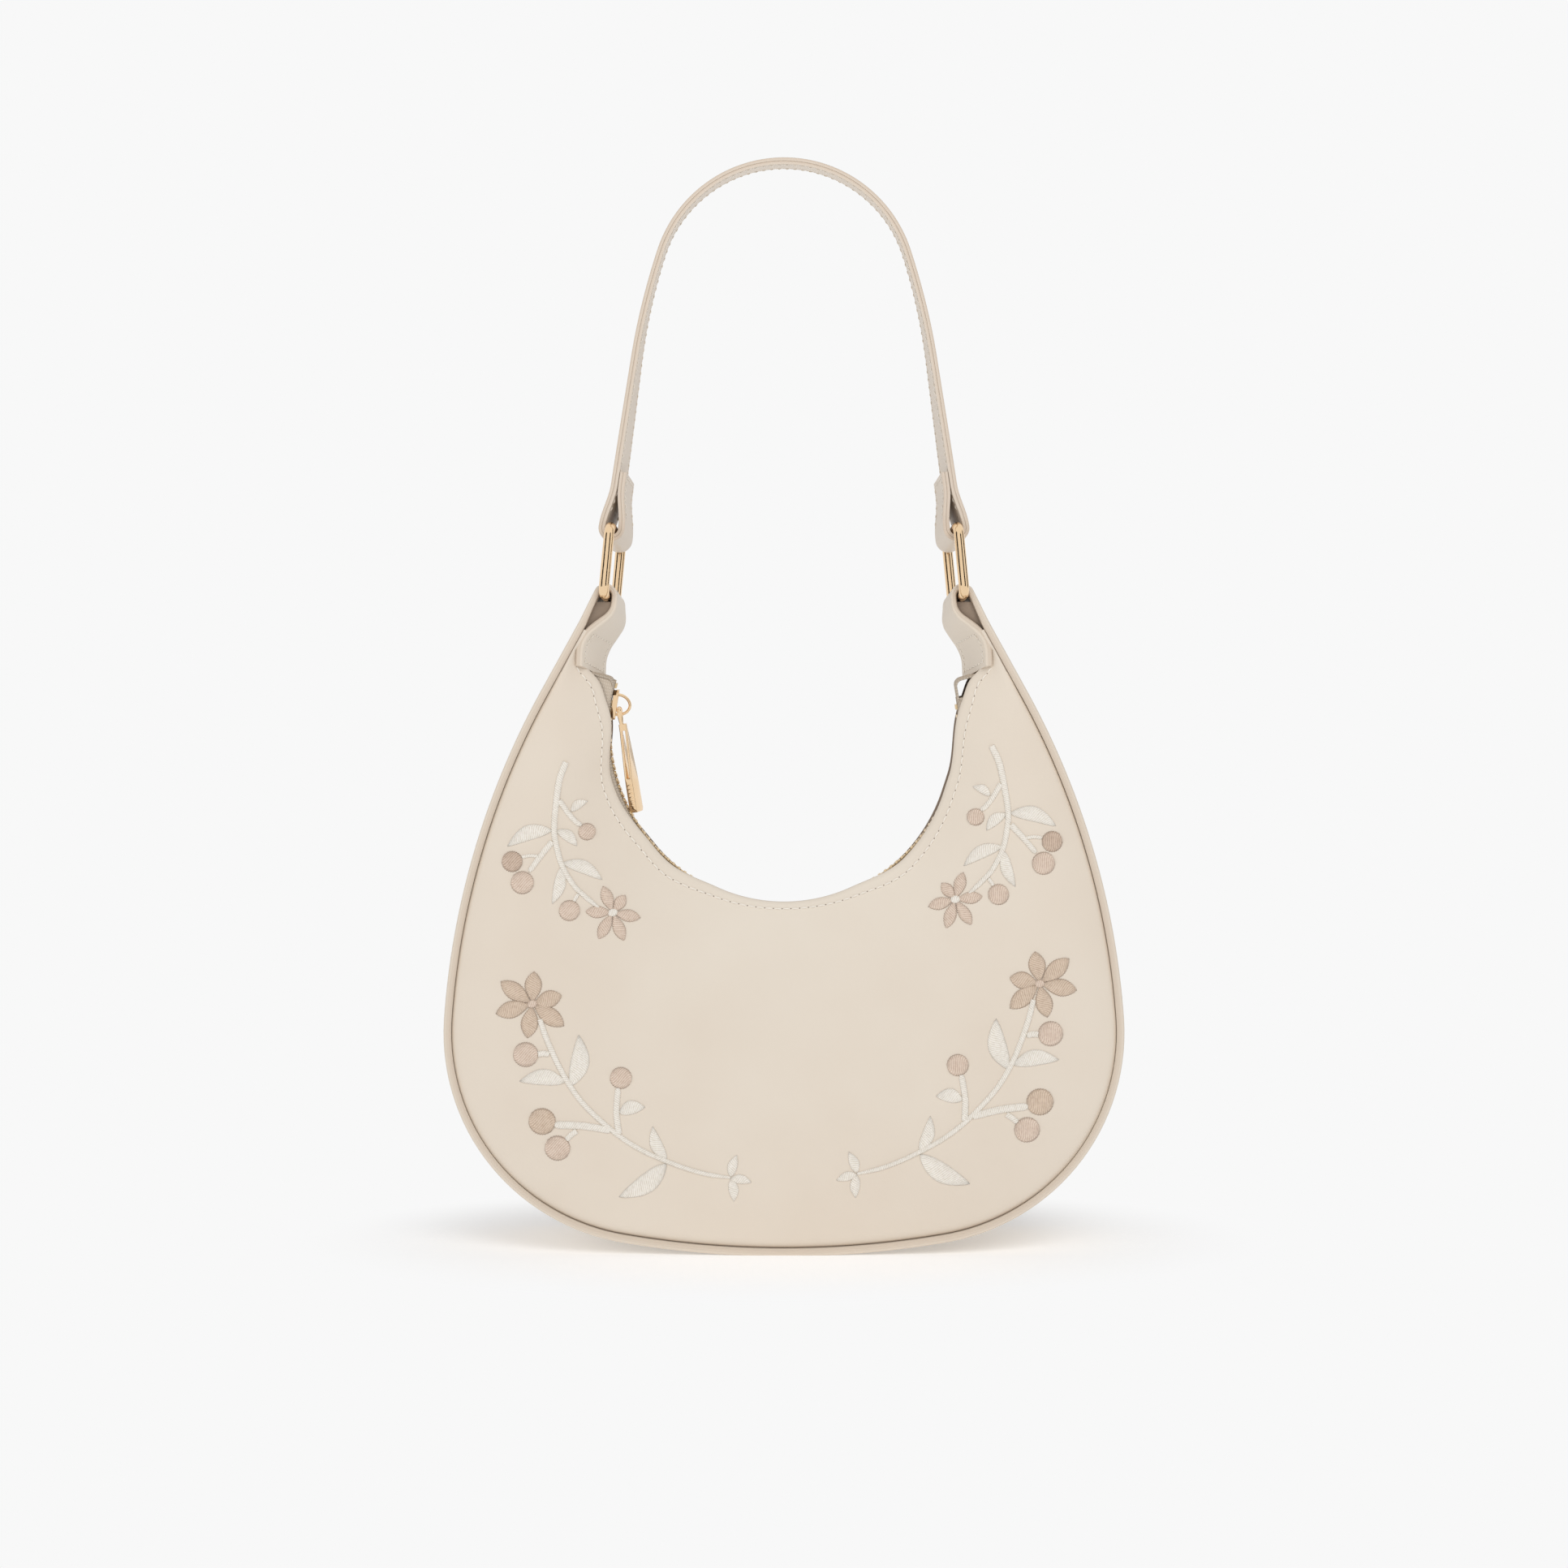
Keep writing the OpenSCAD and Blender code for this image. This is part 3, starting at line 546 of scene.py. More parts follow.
def panel_ring(d, side):
    """Section of a panel from the seam to the opening and back, with the shade of its points."""
    width = panel_width(d, side)
    scale = min(1, width / 20)
    samples = [s * scale for s in NEAR_SEAM]
    samples += [lerp(7 * scale, width - 7 * scale, k / 18) for k in range(1, 18)]
    samples += [width - s * scale for s in NEAR_EDGE]
    up_the_side = ease((abs(d) - 70) / 60)
    # deep is how strong the painted shade of the groove is: full along the base, less up the sides.
    deep, rolled = lerp(1, 0.3, up_the_side), lerp(1.5, 0.9, up_the_side) * scale
    outer, inner, shades = [], [], []
    for s in samples:
        p = panel_point(d, s / width, side)
        roll = rolled * max(0, 1 - s / (3 * scale)) ** 2
        edge = 0.6 * max(0, 1 - (width - s) / (1.4 * scale)) ** 2
        outer.append(p - Vector((0, side * (roll + edge), 0)))
        inner.append(p - Vector((0, side * (PANEL_T + roll - edge * 0.6), 0)))
        shades.append(deep * (1 - ease((s / scale - 0.2) / 0.5)))
    # The inner face takes the edge colour all over.
    return outer + inner[::-1], shades + [1] * len(shades)


# The dark brown edge colour is painted shade for the seam groove, and falloff_shade is painted shade that
# darkens the panels away from the middle of the bag.
panel_leather = make_leather(
    "panel_leather", (0.785, 0.712, 0.612), (0.735, 0.643, 0.538), (0.34, 0.27, 0.215), 1500.0, 0.3, falloff_shade=0.6,
)
stations = [PANEL_END * i / 96 for i in range(97)] + [lerp(PANEL_END, PANEL_TOP, i / 8) for i in range(1, 9)]
stations = [-d for d in reversed(stations[1:])] + stations
panels = {}
for side, name in ((-1, "front_panel"), (1, "back_panel")):
    rings, marks = zip(*(panel_ring(d, side) for d in stations))
    panels[side] = loft(name + "_leather", rings, marks, (0.25, 0.7))
    finish_piece(panels[side], 60, panel_leather, "leather", "bag", name)


# Lining: a bag of cotton twill that hangs inside the leather, one piece to each panel and one
# along the gusset, sewn to the tapes of the zip.
LINING_T = 0.8
LINING_END = OUTLINE_L - OUTLINE[-1][1] - 12
LINING_DROP = PANEL_T + 2 * SEAM_GAP
LINING_FROM_SEAM, LINING_FROM_EDGE = 2.3, 11.8


def make_cloth(name, light, dark, thread):
    """Woven cloth: fine crossed ribs a thread wide on the piece's own map."""
    material, nodes, links, shader = new_material(name, Roughness=0.85, Specular_IOR_Level=0.2)
    place = add_node(nodes, "TexCoord")
    cloth = add_node(nodes, "Math", operation="MULTIPLY")
    for i, (axis, ribs) in enumerate((("X", 0.314), ("Y", 0.157))):
        wave = add_node(
            nodes, "TexWave", bands_direction=axis, wave_profile="SIN", Scale=ribs / thread, Distortion=0.4,
        )
        connect(links, (place, "UV", wave, "Vector"), (wave, "Fac", cloth, i))
    colour_and_shade(nodes, links, shader, cloth.outputs["Value"], dark, light)
    emboss(nodes, links, shader, cloth.outputs["Value"], 0.8, 0.0002)
    return material


lining_cloth = make_cloth("lining_twill", (0.66, 0.58, 0.48), (0.5, 0.43, 0.34), 0.0005)
for side, name in ((-1, "front_lining"), (1, "back_lining")):
    rings = []
    for i in range(-40, 41):
        d = LINING_END * i / 40
        width = panel_width(d, side)
        first, last = LINING_FROM_SEAM / width, 1 - LINING_FROM_EDGE / width
        outer = []
        for k in range(13):
            p = panel_point(d, lerp(first, last, k / 12), side)
            sag = 0.25 * noise.noise(p * 0.06) * math.sin(math.pi * k / 12)
            outer.append(p - Vector((0, side * (LINING_DROP + 0.3 + sag), 0)))
        rings.append(outer + [p - Vector((0, side * LINING_T, 0)) for p in reversed(outer)])
    lining = loft(name + "_cloth", rings, None, (0.12, 0.6))
    finish_piece(lining, 50, lining_cloth, "lining", "bag", name)
floor_line = []
for i in range(31):
    d = LINING_END * i / 30
    x, z = beside(outline(d), GUSSET_T + SEAM_GAP + LINING_T / 2)
    floor_line.append((x, 0, z, half_depth(d) - 1 - LINING_DROP, LINING_T / 2, 0, 0))
lining = strip("gusset_lining_cloth", floor_line, 0.3, size=(0.12, 0.6), both_sides=True)
finish_piece(lining, 50, lining_cloth, "lining", "bag", "gusset_lining")


# Zip: a woven tape at each side of the metal chain, folded down and sewn behind the edge of the
# opening. A short band covers the end of the tapes at each horn and turns out to under the tab.
ZIP_R = 68.0
ZIP_CENTRE_Z = 199.6
SLIDER_AT = -99.0
TAPE_FROM, TAPE_TO = -106.66, 101.0
TAPE_T = 0.6
TAPE_BEND = 5.5
TAPE_LEG = 8.5
BAND_HALF_W, BAND_T = 6.2, 0.8
BAND_TURN = -2.6
BAND_END = 10.5


def at_zip(angle):
    """The frame at an angle along the chain: X along it, Y to the back and Z up from it."""
    return (
        Matrix.Translation((0, 0, ZIP_CENTRE_Z))
        @ Matrix.Rotation(math.radians(-angle), 4, "Y")
        @ Matrix.Translation((0, 0, -ZIP_R))
    )


outside, inside = TAPE_BEND, TAPE_BEND - TAPE_T
tape_section = [
    (0.3, 1.65), (0.3, 3.2), (0.3, 4.6), (0.12, 5.2),
    (-0.4, outside), (-3, outside), (-6, outside), (-TAPE_LEG, outside),
    (-TAPE_LEG, inside), (-6, inside), (-3, inside), (-0.75, inside),
    (-0.42, 4.65), (-0.3, 4.3), (-0.3, 3.2), (-0.3, 1.65),
]
# The tape is cream cloth; its colour is set to a darker beige, the cream darkened by painted shade of the
# gap between the panels where it lies.
tape_cloth = make_cloth("tape_weave", (0.70, 0.61, 0.51), (0.55, 0.465, 0.37), 0.0006)
for side, name in ((-1, "front_tape"), (1, "back_tape")):
    rings = []
    for i in range(121):
        place = at_zip(lerp(TAPE_FROM, TAPE_TO, i / 120))
        rings.append([place @ Vector((0, side * y, z)) for z, y in tape_section])
    tape = loft(name + "_weave", rings, None, (0.03, 0.25))
    finish_piece(tape, 50, tape_cloth, "zip_tape", "bag", name)
for name, end, rise in (("left", TAPE_FROM + 1.6, -0.12), ("right", TAPE_TO - 1.0, 5.5)):
    start = at_zip(end) @ Vector((0, 0, -0.3))
    route = [(0, rise), arc(BAND_TURN, abs(end) - 16), (0, BAND_END)]
    line = []
    for i in range(31):
        x, z, heading = walk(route, i / 30 * length_of(route), (abs(start.x), start.z, abs(end)))
        line.append((x, 0, z, BAND_HALF_W, BAND_T / 2, 0, 0))
    band = strip("tape_end_" + name, line, 0.3, size=(0.02, 0.02))
    if end < 0:
        put_left(band)
    finish_piece(band, 50, tape_cloth, "zip_tape", "bag")


# Strap: two leaves of leather glued face to face, that go round the upper bars of the rings in a
# drop-shaped loop and are turned up and sewn down on the inner side of the legs.
STRAP_W = 25.0
LAYER_T = 1.1
LEAF_HALF_T = LAYER_T / 2 + 0.1
LOOP_R = WIRE_R + LOOP_PLAY + LAYER_T + SEAM_GAP / 2
LEG_OFF = LAYER_T + SEAM_GAP
LEG_RUN = 67
DROP_H = 17
FREE_END = 22
LEG_LEAN = math.radians(8.4)
SHOULDER_R, SHOULDER_TURN = 245, math.radians(9.9)
SETTLE_H = 110
BAR_SPACING = 26.4
TOP_STEPS, LEG_STEPS, LOOP_STEPS, END_STEPS = 64, 30, 18, 14
yaw, tilt, lean = (math.radians(a) for a in (RING_YAW, RING_TILT, RING_LEAN))
ring_up = Vector((
    -math.sin(lean) * math.cos(yaw) - math.cos(lean) * math.sin(tilt) * math.sin(yaw),
    -math.sin(lean) * math.sin(yaw) + math.cos(lean) * math.sin(tilt) * math.cos(yaw),
    math.cos(lean) * math.cos(tilt),
))
upper_bar = lower_bar + BAR_SPACING * ring_up
leg_up = Vector((-math.sin(LEG_LEAN), 0, math.cos(LEG_LEAN)))
leg_out = Vector((math.cos(LEG_LEAN), 0, math.sin(LEG_LEAN)))
bar_xz = Vector((upper_bar.x, 0, upper_bar.z))
leg_foot = bar_xz + LEG_OFF * leg_out
leg_heading = math.radians(90) + LEG_LEAN
shoulder = leg_heading + SHOULDER_TURN
shoulder_x = leg_foot.x + LEG_RUN * math.cos(leg_heading)
shoulder_x += SHOULDER_R * (math.sin(shoulder) - math.sin(leg_heading))
top_r = shoulder_x / math.sin(shoulder)
LEG = [(0, LEG_RUN), (SHOULDER_R, SHOULDER_TURN * SHOULDER_R), (top_r, (math.pi - shoulder) * top_r)]
LEG_L = length_of(LEG)


def strap_station(p, h):
    """A station of the strap at p, which is turned like the ring near it and flat above it."""
    t = 1 - ease(h / SETTLE_H)
    return (p[0], upper_bar.y * t, p[2], STRAP_W / 2, LEAF_HALF_T, RING_YAW * t, RING_TILT * t)


def drop(h):
    """How far the loop stands off the middle of the bar at a height h over it."""
    return LEG_OFF + (LOOP_R - LEG_OFF) * (1 + math.cos(math.pi * min(h / DROP_H, 1))) / 2


strap_line = []
for i in range(TOP_STEPS, -1, -1):
    d = lerp(LEG_RUN, LEG_L, i / TOP_STEPS)
    x, z, heading = walk(LEG, d, (leg_foot.x, leg_foot.z, math.degrees(leg_heading)))
    strap_line.append(strap_station((x, 0, z), d))
for i in range(LEG_STEPS - 1, 0, -1):
    h = LEG_RUN * i / LEG_STEPS
    strap_line.append(strap_station(bar_xz + drop(h) * leg_out + h * leg_up, h))
for i in range(LOOP_STEPS + 1):
    a = -math.pi * i / LOOP_STEPS
    strap_line.append(strap_station(bar_xz + LOOP_R * (math.cos(a) * leg_out + math.sin(a) * leg_up), 0))
for i in range(1, END_STEPS + 1):
    h = FREE_END * i / END_STEPS
    strap_line.append(strap_station(bar_xz - drop(h) * leg_out + h * leg_up, h))
strap_leather = make_leather(
    "strap_leather", (0.730, 0.640, 0.540), (0.695, 0.600, 0.500), (0.640, 0.535, 0.435), 1500.0, 0.35,
)
for name, off in (("strap_outer", LEAF_HALF_T), ("strap_facing", -LEAF_HALF_T)):
    leaf = strip(name + "_leather", strap_line, 0.4, lift=off, size=(0.06, 0.6), both_sides=True)
    finish_piece(leaf, 50, strap_leather, "leather", "strap", name)


# Topstitching: ivory thread in short sunk stitches, each with a dark disc at its start that is
# painted shade for its needle hole, round the opening, on the ends of the tabs and along the strap.
PITCH = 3.4
STITCH_FROM, STITCH_TO, STITCH_R = 0.35, 3.1, 0.33
HOLE_SHADE_PROFILE = ((0.3, -0.2), (1, -0.1), (0.85, 0.05), (0.3, 0.08))
SEWN_TO = PANEL_END * 0.965
TAB_INSET, STRAP_INSET = 3.0, 2.4


def turns(count):
    """The angles of a number of points all round."""
    return [math.tau * j / count for j in range(count)]


def copy_of(piece):
    """A copy of a piece in the scene, with a mesh of its own."""
    one = piece.copy()
    one.data = piece.data.copy()
    bpy.context.collection.objects.link(one)
    return one


def join_as(name, parts):
    """Join parts to one piece of this name."""
    only(parts[0])
    for part in parts:
        part.select_set(True)
    bpy.ops.object.join()
    parts[0].name = name
    return parts[0]


stitch_rings = []
for k in range(9):
    t = k / 8
    x = lerp(STITCH_FROM, STITCH_TO, t)
    r = STITCH_R * math.sqrt(math.sin(math.pi * lerp(0.06, 0.94, t)))
    rise = 0.40 * math.sin(math.pi * t) - 0.10
    stitch_rings.append([Vector((x, r * math.cos(a), rise + 0.8 * r * math.sin(a))) for a in turns(6)])
# A low dark disc at the start of each stitch: painted shade for its needle hole.
hole_shade_rings = [
    [Vector((0.30 * math.cos(a) * r, 0.28 * math.sin(a) * r, z)) for a in turns(8)] for r, z in HOLE_SHADE_PROFILE
]
hole_shade = loft("needle_hole_shade", hole_shade_rings, [[1.0] * 8] * 4)
stitch = join_as("stitch", [loft("thread", stitch_rings), hole_shade])
smooth(stitch, 60)

thread, nodes, links, shader = new_material("ivory_thread", Roughness=0.55, Specular_IOR_Level=0.35)
place = add_node(nodes, "TexCoord")
twist = add_node(nodes, "TexNoise", Scale=2600.0, Detail=1.0)
connect(links, (place, "Object", twist, "Vector"))
# The dark brown edge colour is the painted shade of the needle holes.
colour_and_shade(nodes, links, shader, twist.outputs["Fac"], (0.93, 0.88, 0.80), (0.80, 0.73, 0.63), (0.26, 0.21, 0.17))
emboss(nodes, links, shader, twist.outputs["Fac"], 0.5, 0.00005)


def sew(name, lines, body, pitch=PITCH, scale=1.0):
    """Rows of stitches along lines of (place, outward normal), in millimetres."""
    made = []
    for line in lines:
        lengths = [0]
        for (p, n), (q, m) in zip(line, line[1:]):
            lengths.append(lengths[-1] + (q - p).length)
        count = round(lengths[-1] / pitch)
        step = lengths[-1] / count
        size = Matrix.Scale(step / PITCH * scale, 4)
        i = 0
        for k in range(count):
            while lengths[i + 1] < (k + 0.01) * step:
                i += 1
            t = (k * step - lengths[i]) / (lengths[i + 1] - lengths[i])
            (p, n), (q, m) = line[i], line[i + 1]
            up = n.lerp(m, t).normalized()
            side = up.cross((q - p).normalized()).normalized()
            turn = Matrix((side.cross(up), side, up)).transposed().to_4x4()
            one = copy_of(stitch)
            one.data.transform(Matrix.Translation(p.lerp(q, t) * 0.001) @ turn @ size)
            made.append(one)
    finish_piece(join_as(name, made), 0, thread, "zip_tape", body)


def to_left(rows):
    """Rows of stitches of the right side, mirrored to the left side."""
    return [[(TO_LEFT @ p, TO_LEFT.to_3x3() @ n) for p, n in row] for row in rows]


def from_edge(e):
    """How far the stitches stand from the edge of the opening, at a length e along it."""
    return 2.6 + 2.0 * ease(e / 55) - 1.7 * ease((e - 112) / 26)


def strap_row(stations, y, face):
    """A row along the strap's edge at side y, on its inner (1) or outer (-1) face."""
    row = []
    for i in stations:
        p, w, n = stance(strap_line, i)
        row.append((p + face * 2 * LEAF_HALF_T * n + y * (STRAP_W / 2 - STRAP_INSET) * w, face * n))
    return row


for side, name in ((-1, "front"), (1, "back")):
    line = []
    for i in range(-220, 221):
        d = SEWN_TO * i / 220
        u = 1 - from_edge(abs(d) / PANEL_END * EDGE_L) / panel_width(d, side)
        p = panel_point(d, u, side)
        along = panel_point(d + 0.5, u, side) - panel_point(d - 0.5, u, side)
        up = along.cross(panel_point(d, u + 0.01, side) - p).normalized()
        line.append((p, up if up.y * side > 0 else -up))
    sew("opening_stitches_" + name, [line], "bag")

end_line = fall_line[14:]
rows = []
for y in (-1, 1):
    row = []
    for i, s in enumerate(end_line[:-1]):
        p, w, n = stance(end_line, i)
        row.append((p - s[4] * n + y * (s[3] - TAB_INSET) * w, -n))
    rows.append(row)
for pair in (end_line[:2], end_line[-3:-1]):
    p, w, n = stance(pair, 0)
    rows.append([(p - pair[0][4] * n + y * w, -n) for y in (-9.5, -3, 3, 9.5)])
sew("tab_stitches", rows + to_left(rows), "bag", 2.6, 0.9)

rows = [strap_row(range(1, 92), y, -1) for y in (-1, 1)]
all_round = [left[::-1] + right for left, right in zip(to_left(rows), rows)]
last = len(strap_line) - 1
rows = [strap_row(range(last - 11, last), y, 1) for y in (-1, 1)]
(near, up), (far, far_up) = (row[-1] for row in rows)
rows.append([(lerp(near, far, k / 6), up) for k in range(7)])
sew("strap_stitches", all_round + rows + to_left(rows), "strap", 3.0, 0.8)
bpy.data.objects.remove(stitch)


# Metal: die-cast zinc and wire, plated in pale gold and polished. The teeth and stops are the
# frame's own solids, and the slider has its cast edges rounded.
CROWN_L, CROWN_H, CROWN_T, CROWN_W, DECK = 9.0, 5.5, 1.2, 2.2, 2.75
RING_SIDE_Y, RING_CORNER = 17.25, 4.0

plating, nodes, links, given, made = new_group("plated_metal", (), ("Tone", "Height"))
place = add_node(nodes, "TexCoord")
cloud = add_node(nodes, "TexNoise", Scale=180.0, Detail=3.0)
fine = add_node(nodes, "TexNoise", Scale=1800.0, Detail=2.0)
connect(
    links,
    (place, "Object", cloud, "Vector"), (place, "Object", fine, "Vector"),
    (cloud, "Fac", made, "Tone"), (fine, "Fac", made, "Height"),
)


def make_gold(name, light, dark, rough):
    """Gold plating of about this roughness, a little cloudy."""
    material, nodes, links, shader = new_material(name, Metallic=1.0)
    plate = add_node(nodes, "Group", node_tree=plating)
    gloss = add_node(nodes, "MapRange", To_Min=rough - 0.04, To_Max=rough + 0.06)
    connect(links, (plate, "Tone", gloss, "Value"), (gloss, "Result", shader, "Roughness"))
    colour_and_shade(nodes, links, shader, plate.outputs["Tone"], light, dark)
    emboss(nodes, links, shader, plate.outputs["Height"], 0.08, 0.0001)
    return material


def round_edges(piece, width, segments, angle):
    """Round the edges of a piece that turn by more than an angle."""
    only(piece)
    edge = piece.modifiers.new("cast_edge", "BEVEL")
    edge.width, edge.segments, edge.angle_limit = width, segments, math.radians(angle)
    bpy.ops.object.modifier_apply(modifier="cast_edge")


polished_gold = make_gold("polished_gold", (0.91, 0.68, 0.44), (0.84, 0.61, 0.37), 0.12)
tumbled_gold = make_gold("tumbled_gold", (0.80, 0.62, 0.38), (0.66, 0.49, 0.28), 0.3)
for name in ("front_teeth", "back_teeth", "top_stops", "bottom_stop"):
    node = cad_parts[name]
    node.data.materials.clear()
    node.data.materials.append(tumbled_gold)

cast = copy_of(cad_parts["slider_body"])
cast.name = "slider_body_cast"
cast.data.materials.clear()
only(cast)
bpy.ops.object.mode_set(mode="EDIT")
bpy.ops.mesh.select_all(action="SELECT")
bpy.ops.mesh.remove_doubles(threshold=1e-6)
bpy.ops.mesh.dissolve_limited(angle_limit=math.radians(1))
bpy.ops.object.mode_set(mode="OBJECT")
round_edges(cast, 0.00022, 2, 40)
finish_piece(cast, 40, polished_gold, "gold", "slider", "slider_body")

rx, rz = (CROWN_L - CROWN_T) / 2, CROWN_H - CROWN_T / 2
rings = []
for i in range(33):
    a = math.pi * i / 32
    mid = Vector((-rx * math.cos(a), 0, rz * math.sin(a) + DECK))
    out = Vector((-math.cos(a) / rx, 0, math.sin(a) / rz)).normalized()
    wide = CROWN_W / 2 * (1 + 0.25 * math.cos(a) ** 8)
    ring = [mid + CROWN_T / 2 * math.cos(b) * out + Vector((0, wide * math.sin(b), 0)) for b in turns(16)]
    rings.append([at_zip(SLIDER_AT) @ p for p in ring])
finish_piece(loft("slider_crown_arch", rings), 50, polished_gold, "gold", "slider", "slider_crown")

loop = []
for y, z, start in ((1, 0, -90), (1, 1, 0), (-1, 1, 90), (-1, 0, 180)):
    corner_z = BAR_SPACING * z + (RING_CORNER if z == 0 else -RING_CORNER)
    centre = Vector((0, y * (RING_SIDE_Y - RING_CORNER), corner_z))
    for k in range(13):
        a = math.radians(start + 90 * k / 12)
        out = Vector((0, math.cos(a), math.sin(a)))
        loop.append((centre + RING_CORNER * out, out))
place = (
    Matrix.Translation(lower_bar) @ Matrix.Rotation(yaw, 4, "Z")
    @ Matrix.Rotation(-tilt, 4, "X") @ Matrix.Rotation(-lean, 4, "Y")
)
rings = []
for p, out in loop + loop[:1]:
    section = [math.cos(b) * out + Vector((math.sin(b), 0, 0)) for b in turns(24)]
    rings.append([place @ (p + WIRE_R * off) for off in section])
for side, name in ((1, "right"), (-1, "left")):
    hoop = loft("ring_wire_" + name, [[Vector((side * p.x, p.y, p.z)) for p in ring] for ring in rings])
    finish_piece(hoop, 60, polished_gold, "gold", "ring_" + name, name + "_ring")


# Puller: a long cast fork of two thin leaves that hangs on a pin in the crown. Its leaves join in
# a solid end, whose narrow sides are ribbed for grip. It is made in millimetres along its length.
PIN = (2.0, 3.85)
PULLER_REST = 17.93
PULLER_ROLL = 21.0
ROLL_FROM, ROLL_RUN = 6, 16
PULLER_LEN = 40.0
NECK_X, NECK_HALF_W, END_HALF_W = 6.9, 2.75, 3.4
LEAF_X = [5.4, 8.0, 26.6, 28.2, 38.8, PULLER_LEN]
LEAF_Z = [-1.05, -0.15, 1.05, 1.95]
CHEEK_BACK, CHEEK_AHEAD, CHEEK_HALF_H = 1.35, 6.6, 1.05
CHEEK_PROFILE = ((1.52, 0.86), (1.62, 0.97), (1.8, 1), (2.4, 1), (2.6, 0.97), (2.7, 0.86))
PIN_PROFILE = (
    (-2.95, 0.3), (-2.9, 0.6), (-2.75, 0.78), (-2.5, 0.8),
    (2.5, 0.8), (2.75, 0.78), (2.9, 0.6), (2.95, 0.3),
)
RIB_X, RIB_Z, RIB_PITCH = 29.4, 0.45, 1.55
RIB_PROFILE = ((-0.3, 1), (0.16, 1), (0.26, 0.85), (0.3, 0.5))
TO_METRES, TO_MM = Matrix.Scale(0.001, 4), Matrix.Scale(1000, 4)


def blade_half_w(x):
    return lerp(NECK_HALF_W, END_HALF_W, (x - NECK_X) / (PULLER_LEN - NECK_X))


def roll_blade(piece):
    """Turn a part of the puller about its length, more and more from its neck to its end."""
    for v in piece.data.vertices:
        roll = math.radians(PULLER_ROLL) * ease((v.co.x - ROLL_FROM) / ROLL_RUN)
        v.co = Matrix.Rotation(roll, 3, "X") @ v.co


def bar(name, section, profile, side=1):
    """A bar along the pin: the section (x, z) at each (y, scale) of a profile."""
    return loft(name, [[Vector((x * r, side * y, z * r)) for x, z in section] for y, r in profile])


columns, rows = len(LEAF_X) - 1, len(LEAF_Z) - 1
bpy.ops.object.select_all(action="DESELECT")
bpy.ops.mesh.primitive_grid_add(x_subdivisions=columns, y_subdivisions=rows, size=1)
fork = bpy.context.object
for v in fork.data.vertices:
    v.co = (LEAF_X[round((v.co.x + 0.5) * columns)], -1, LEAF_Z[round((v.co.y + 0.5) * rows)])
bpy.ops.object.mode_set(mode="EDIT")
bpy.ops.mesh.select_all(action="DESELECT")
bpy.ops.object.mode_set(mode="OBJECT")
for face in fork.data.polygons:
    face.select = LEAF_X[1] < face.center.x < LEAF_X[2] and LEAF_Z[1] < face.center.z < LEAF_Z[2]
bpy.ops.object.mode_set(mode="EDIT")
bpy.ops.mesh.delete(type="FACE")
bpy.ops.mesh.select_all(action="SELECT")
bpy.ops.mesh.extrude_region_move(TRANSFORM_OT_translate={"value": (0, 2, 0)})
bpy.ops.mesh.select_all(action="SELECT")
bpy.ops.mesh.normals_make_consistent(inside=False)
bpy.ops.object.mode_set(mode="OBJECT")
for v in fork.data.vertices:
    v.co.y *= blade_half_w(v.co.x) - (0.8 if v.co.x > PULLER_LEN - 0.5 else 0)
roll_blade(fork)
round_edges(fork, 0.24, 3, 30)
fork.data.transform(TO_METRES)

parts = [fork]
round_section = [(math.cos(a), math.sin(a)) for a in turns(24)]
cheek_section = [((CHEEK_BACK if x < 0 else CHEEK_AHEAD) * x, CHEEK_HALF_H * z) for x, z in round_section]
for side in (-1, 1):
    parts.append(bar("puller_cheek", cheek_section, CHEEK_PROFILE, side))
parts.append(bar("puller_pin", [(math.cos(a), math.sin(a)) for a in turns(20)], PIN_PROFILE))
rib_section = [
    (0.42 * math.cos(a), 1.1 * math.copysign(abs(math.sin(a)) ** 0.5, math.sin(a))) for a in turns(16)
]
rib = bar("puller_rib", rib_section, RIB_PROFILE, -1)
for k in range(6):
    x = RIB_X + RIB_PITCH * k
    for side in (-1, 1):
        one = copy_of(rib)
        seat = Matrix.Diagonal((1, -side, 1, 1)) @ Matrix.Translation((0, -blade_half_w(x), 0))
        one.data.transform(Matrix.Translation((x, 0, RIB_Z)) @ seat @ TO_MM)
        roll_blade(one)
        one.data.transform(TO_METRES)
        parts.append(one)
bpy.data.objects.remove(rib)
join_as("puller_fork", parts)
bpy.ops.object.mode_set(mode="EDIT")
bpy.ops.mesh.select_all(action="SELECT")
bpy.ops.mesh.normals_make_consistent(inside=False)
bpy.ops.object.mode_set(mode="OBJECT")
hang = (
    at_zip(SLIDER_AT) @ Matrix.Translation((PIN[0], 0, PIN[1]))
    @ Matrix.Rotation(math.radians(-PULLER_REST), 4, "Y")
)
fork.data.transform(TO_METRES @ hang @ TO_MM)
finish_piece(fork, 35, polished_gold, "gold", "pull", "puller")


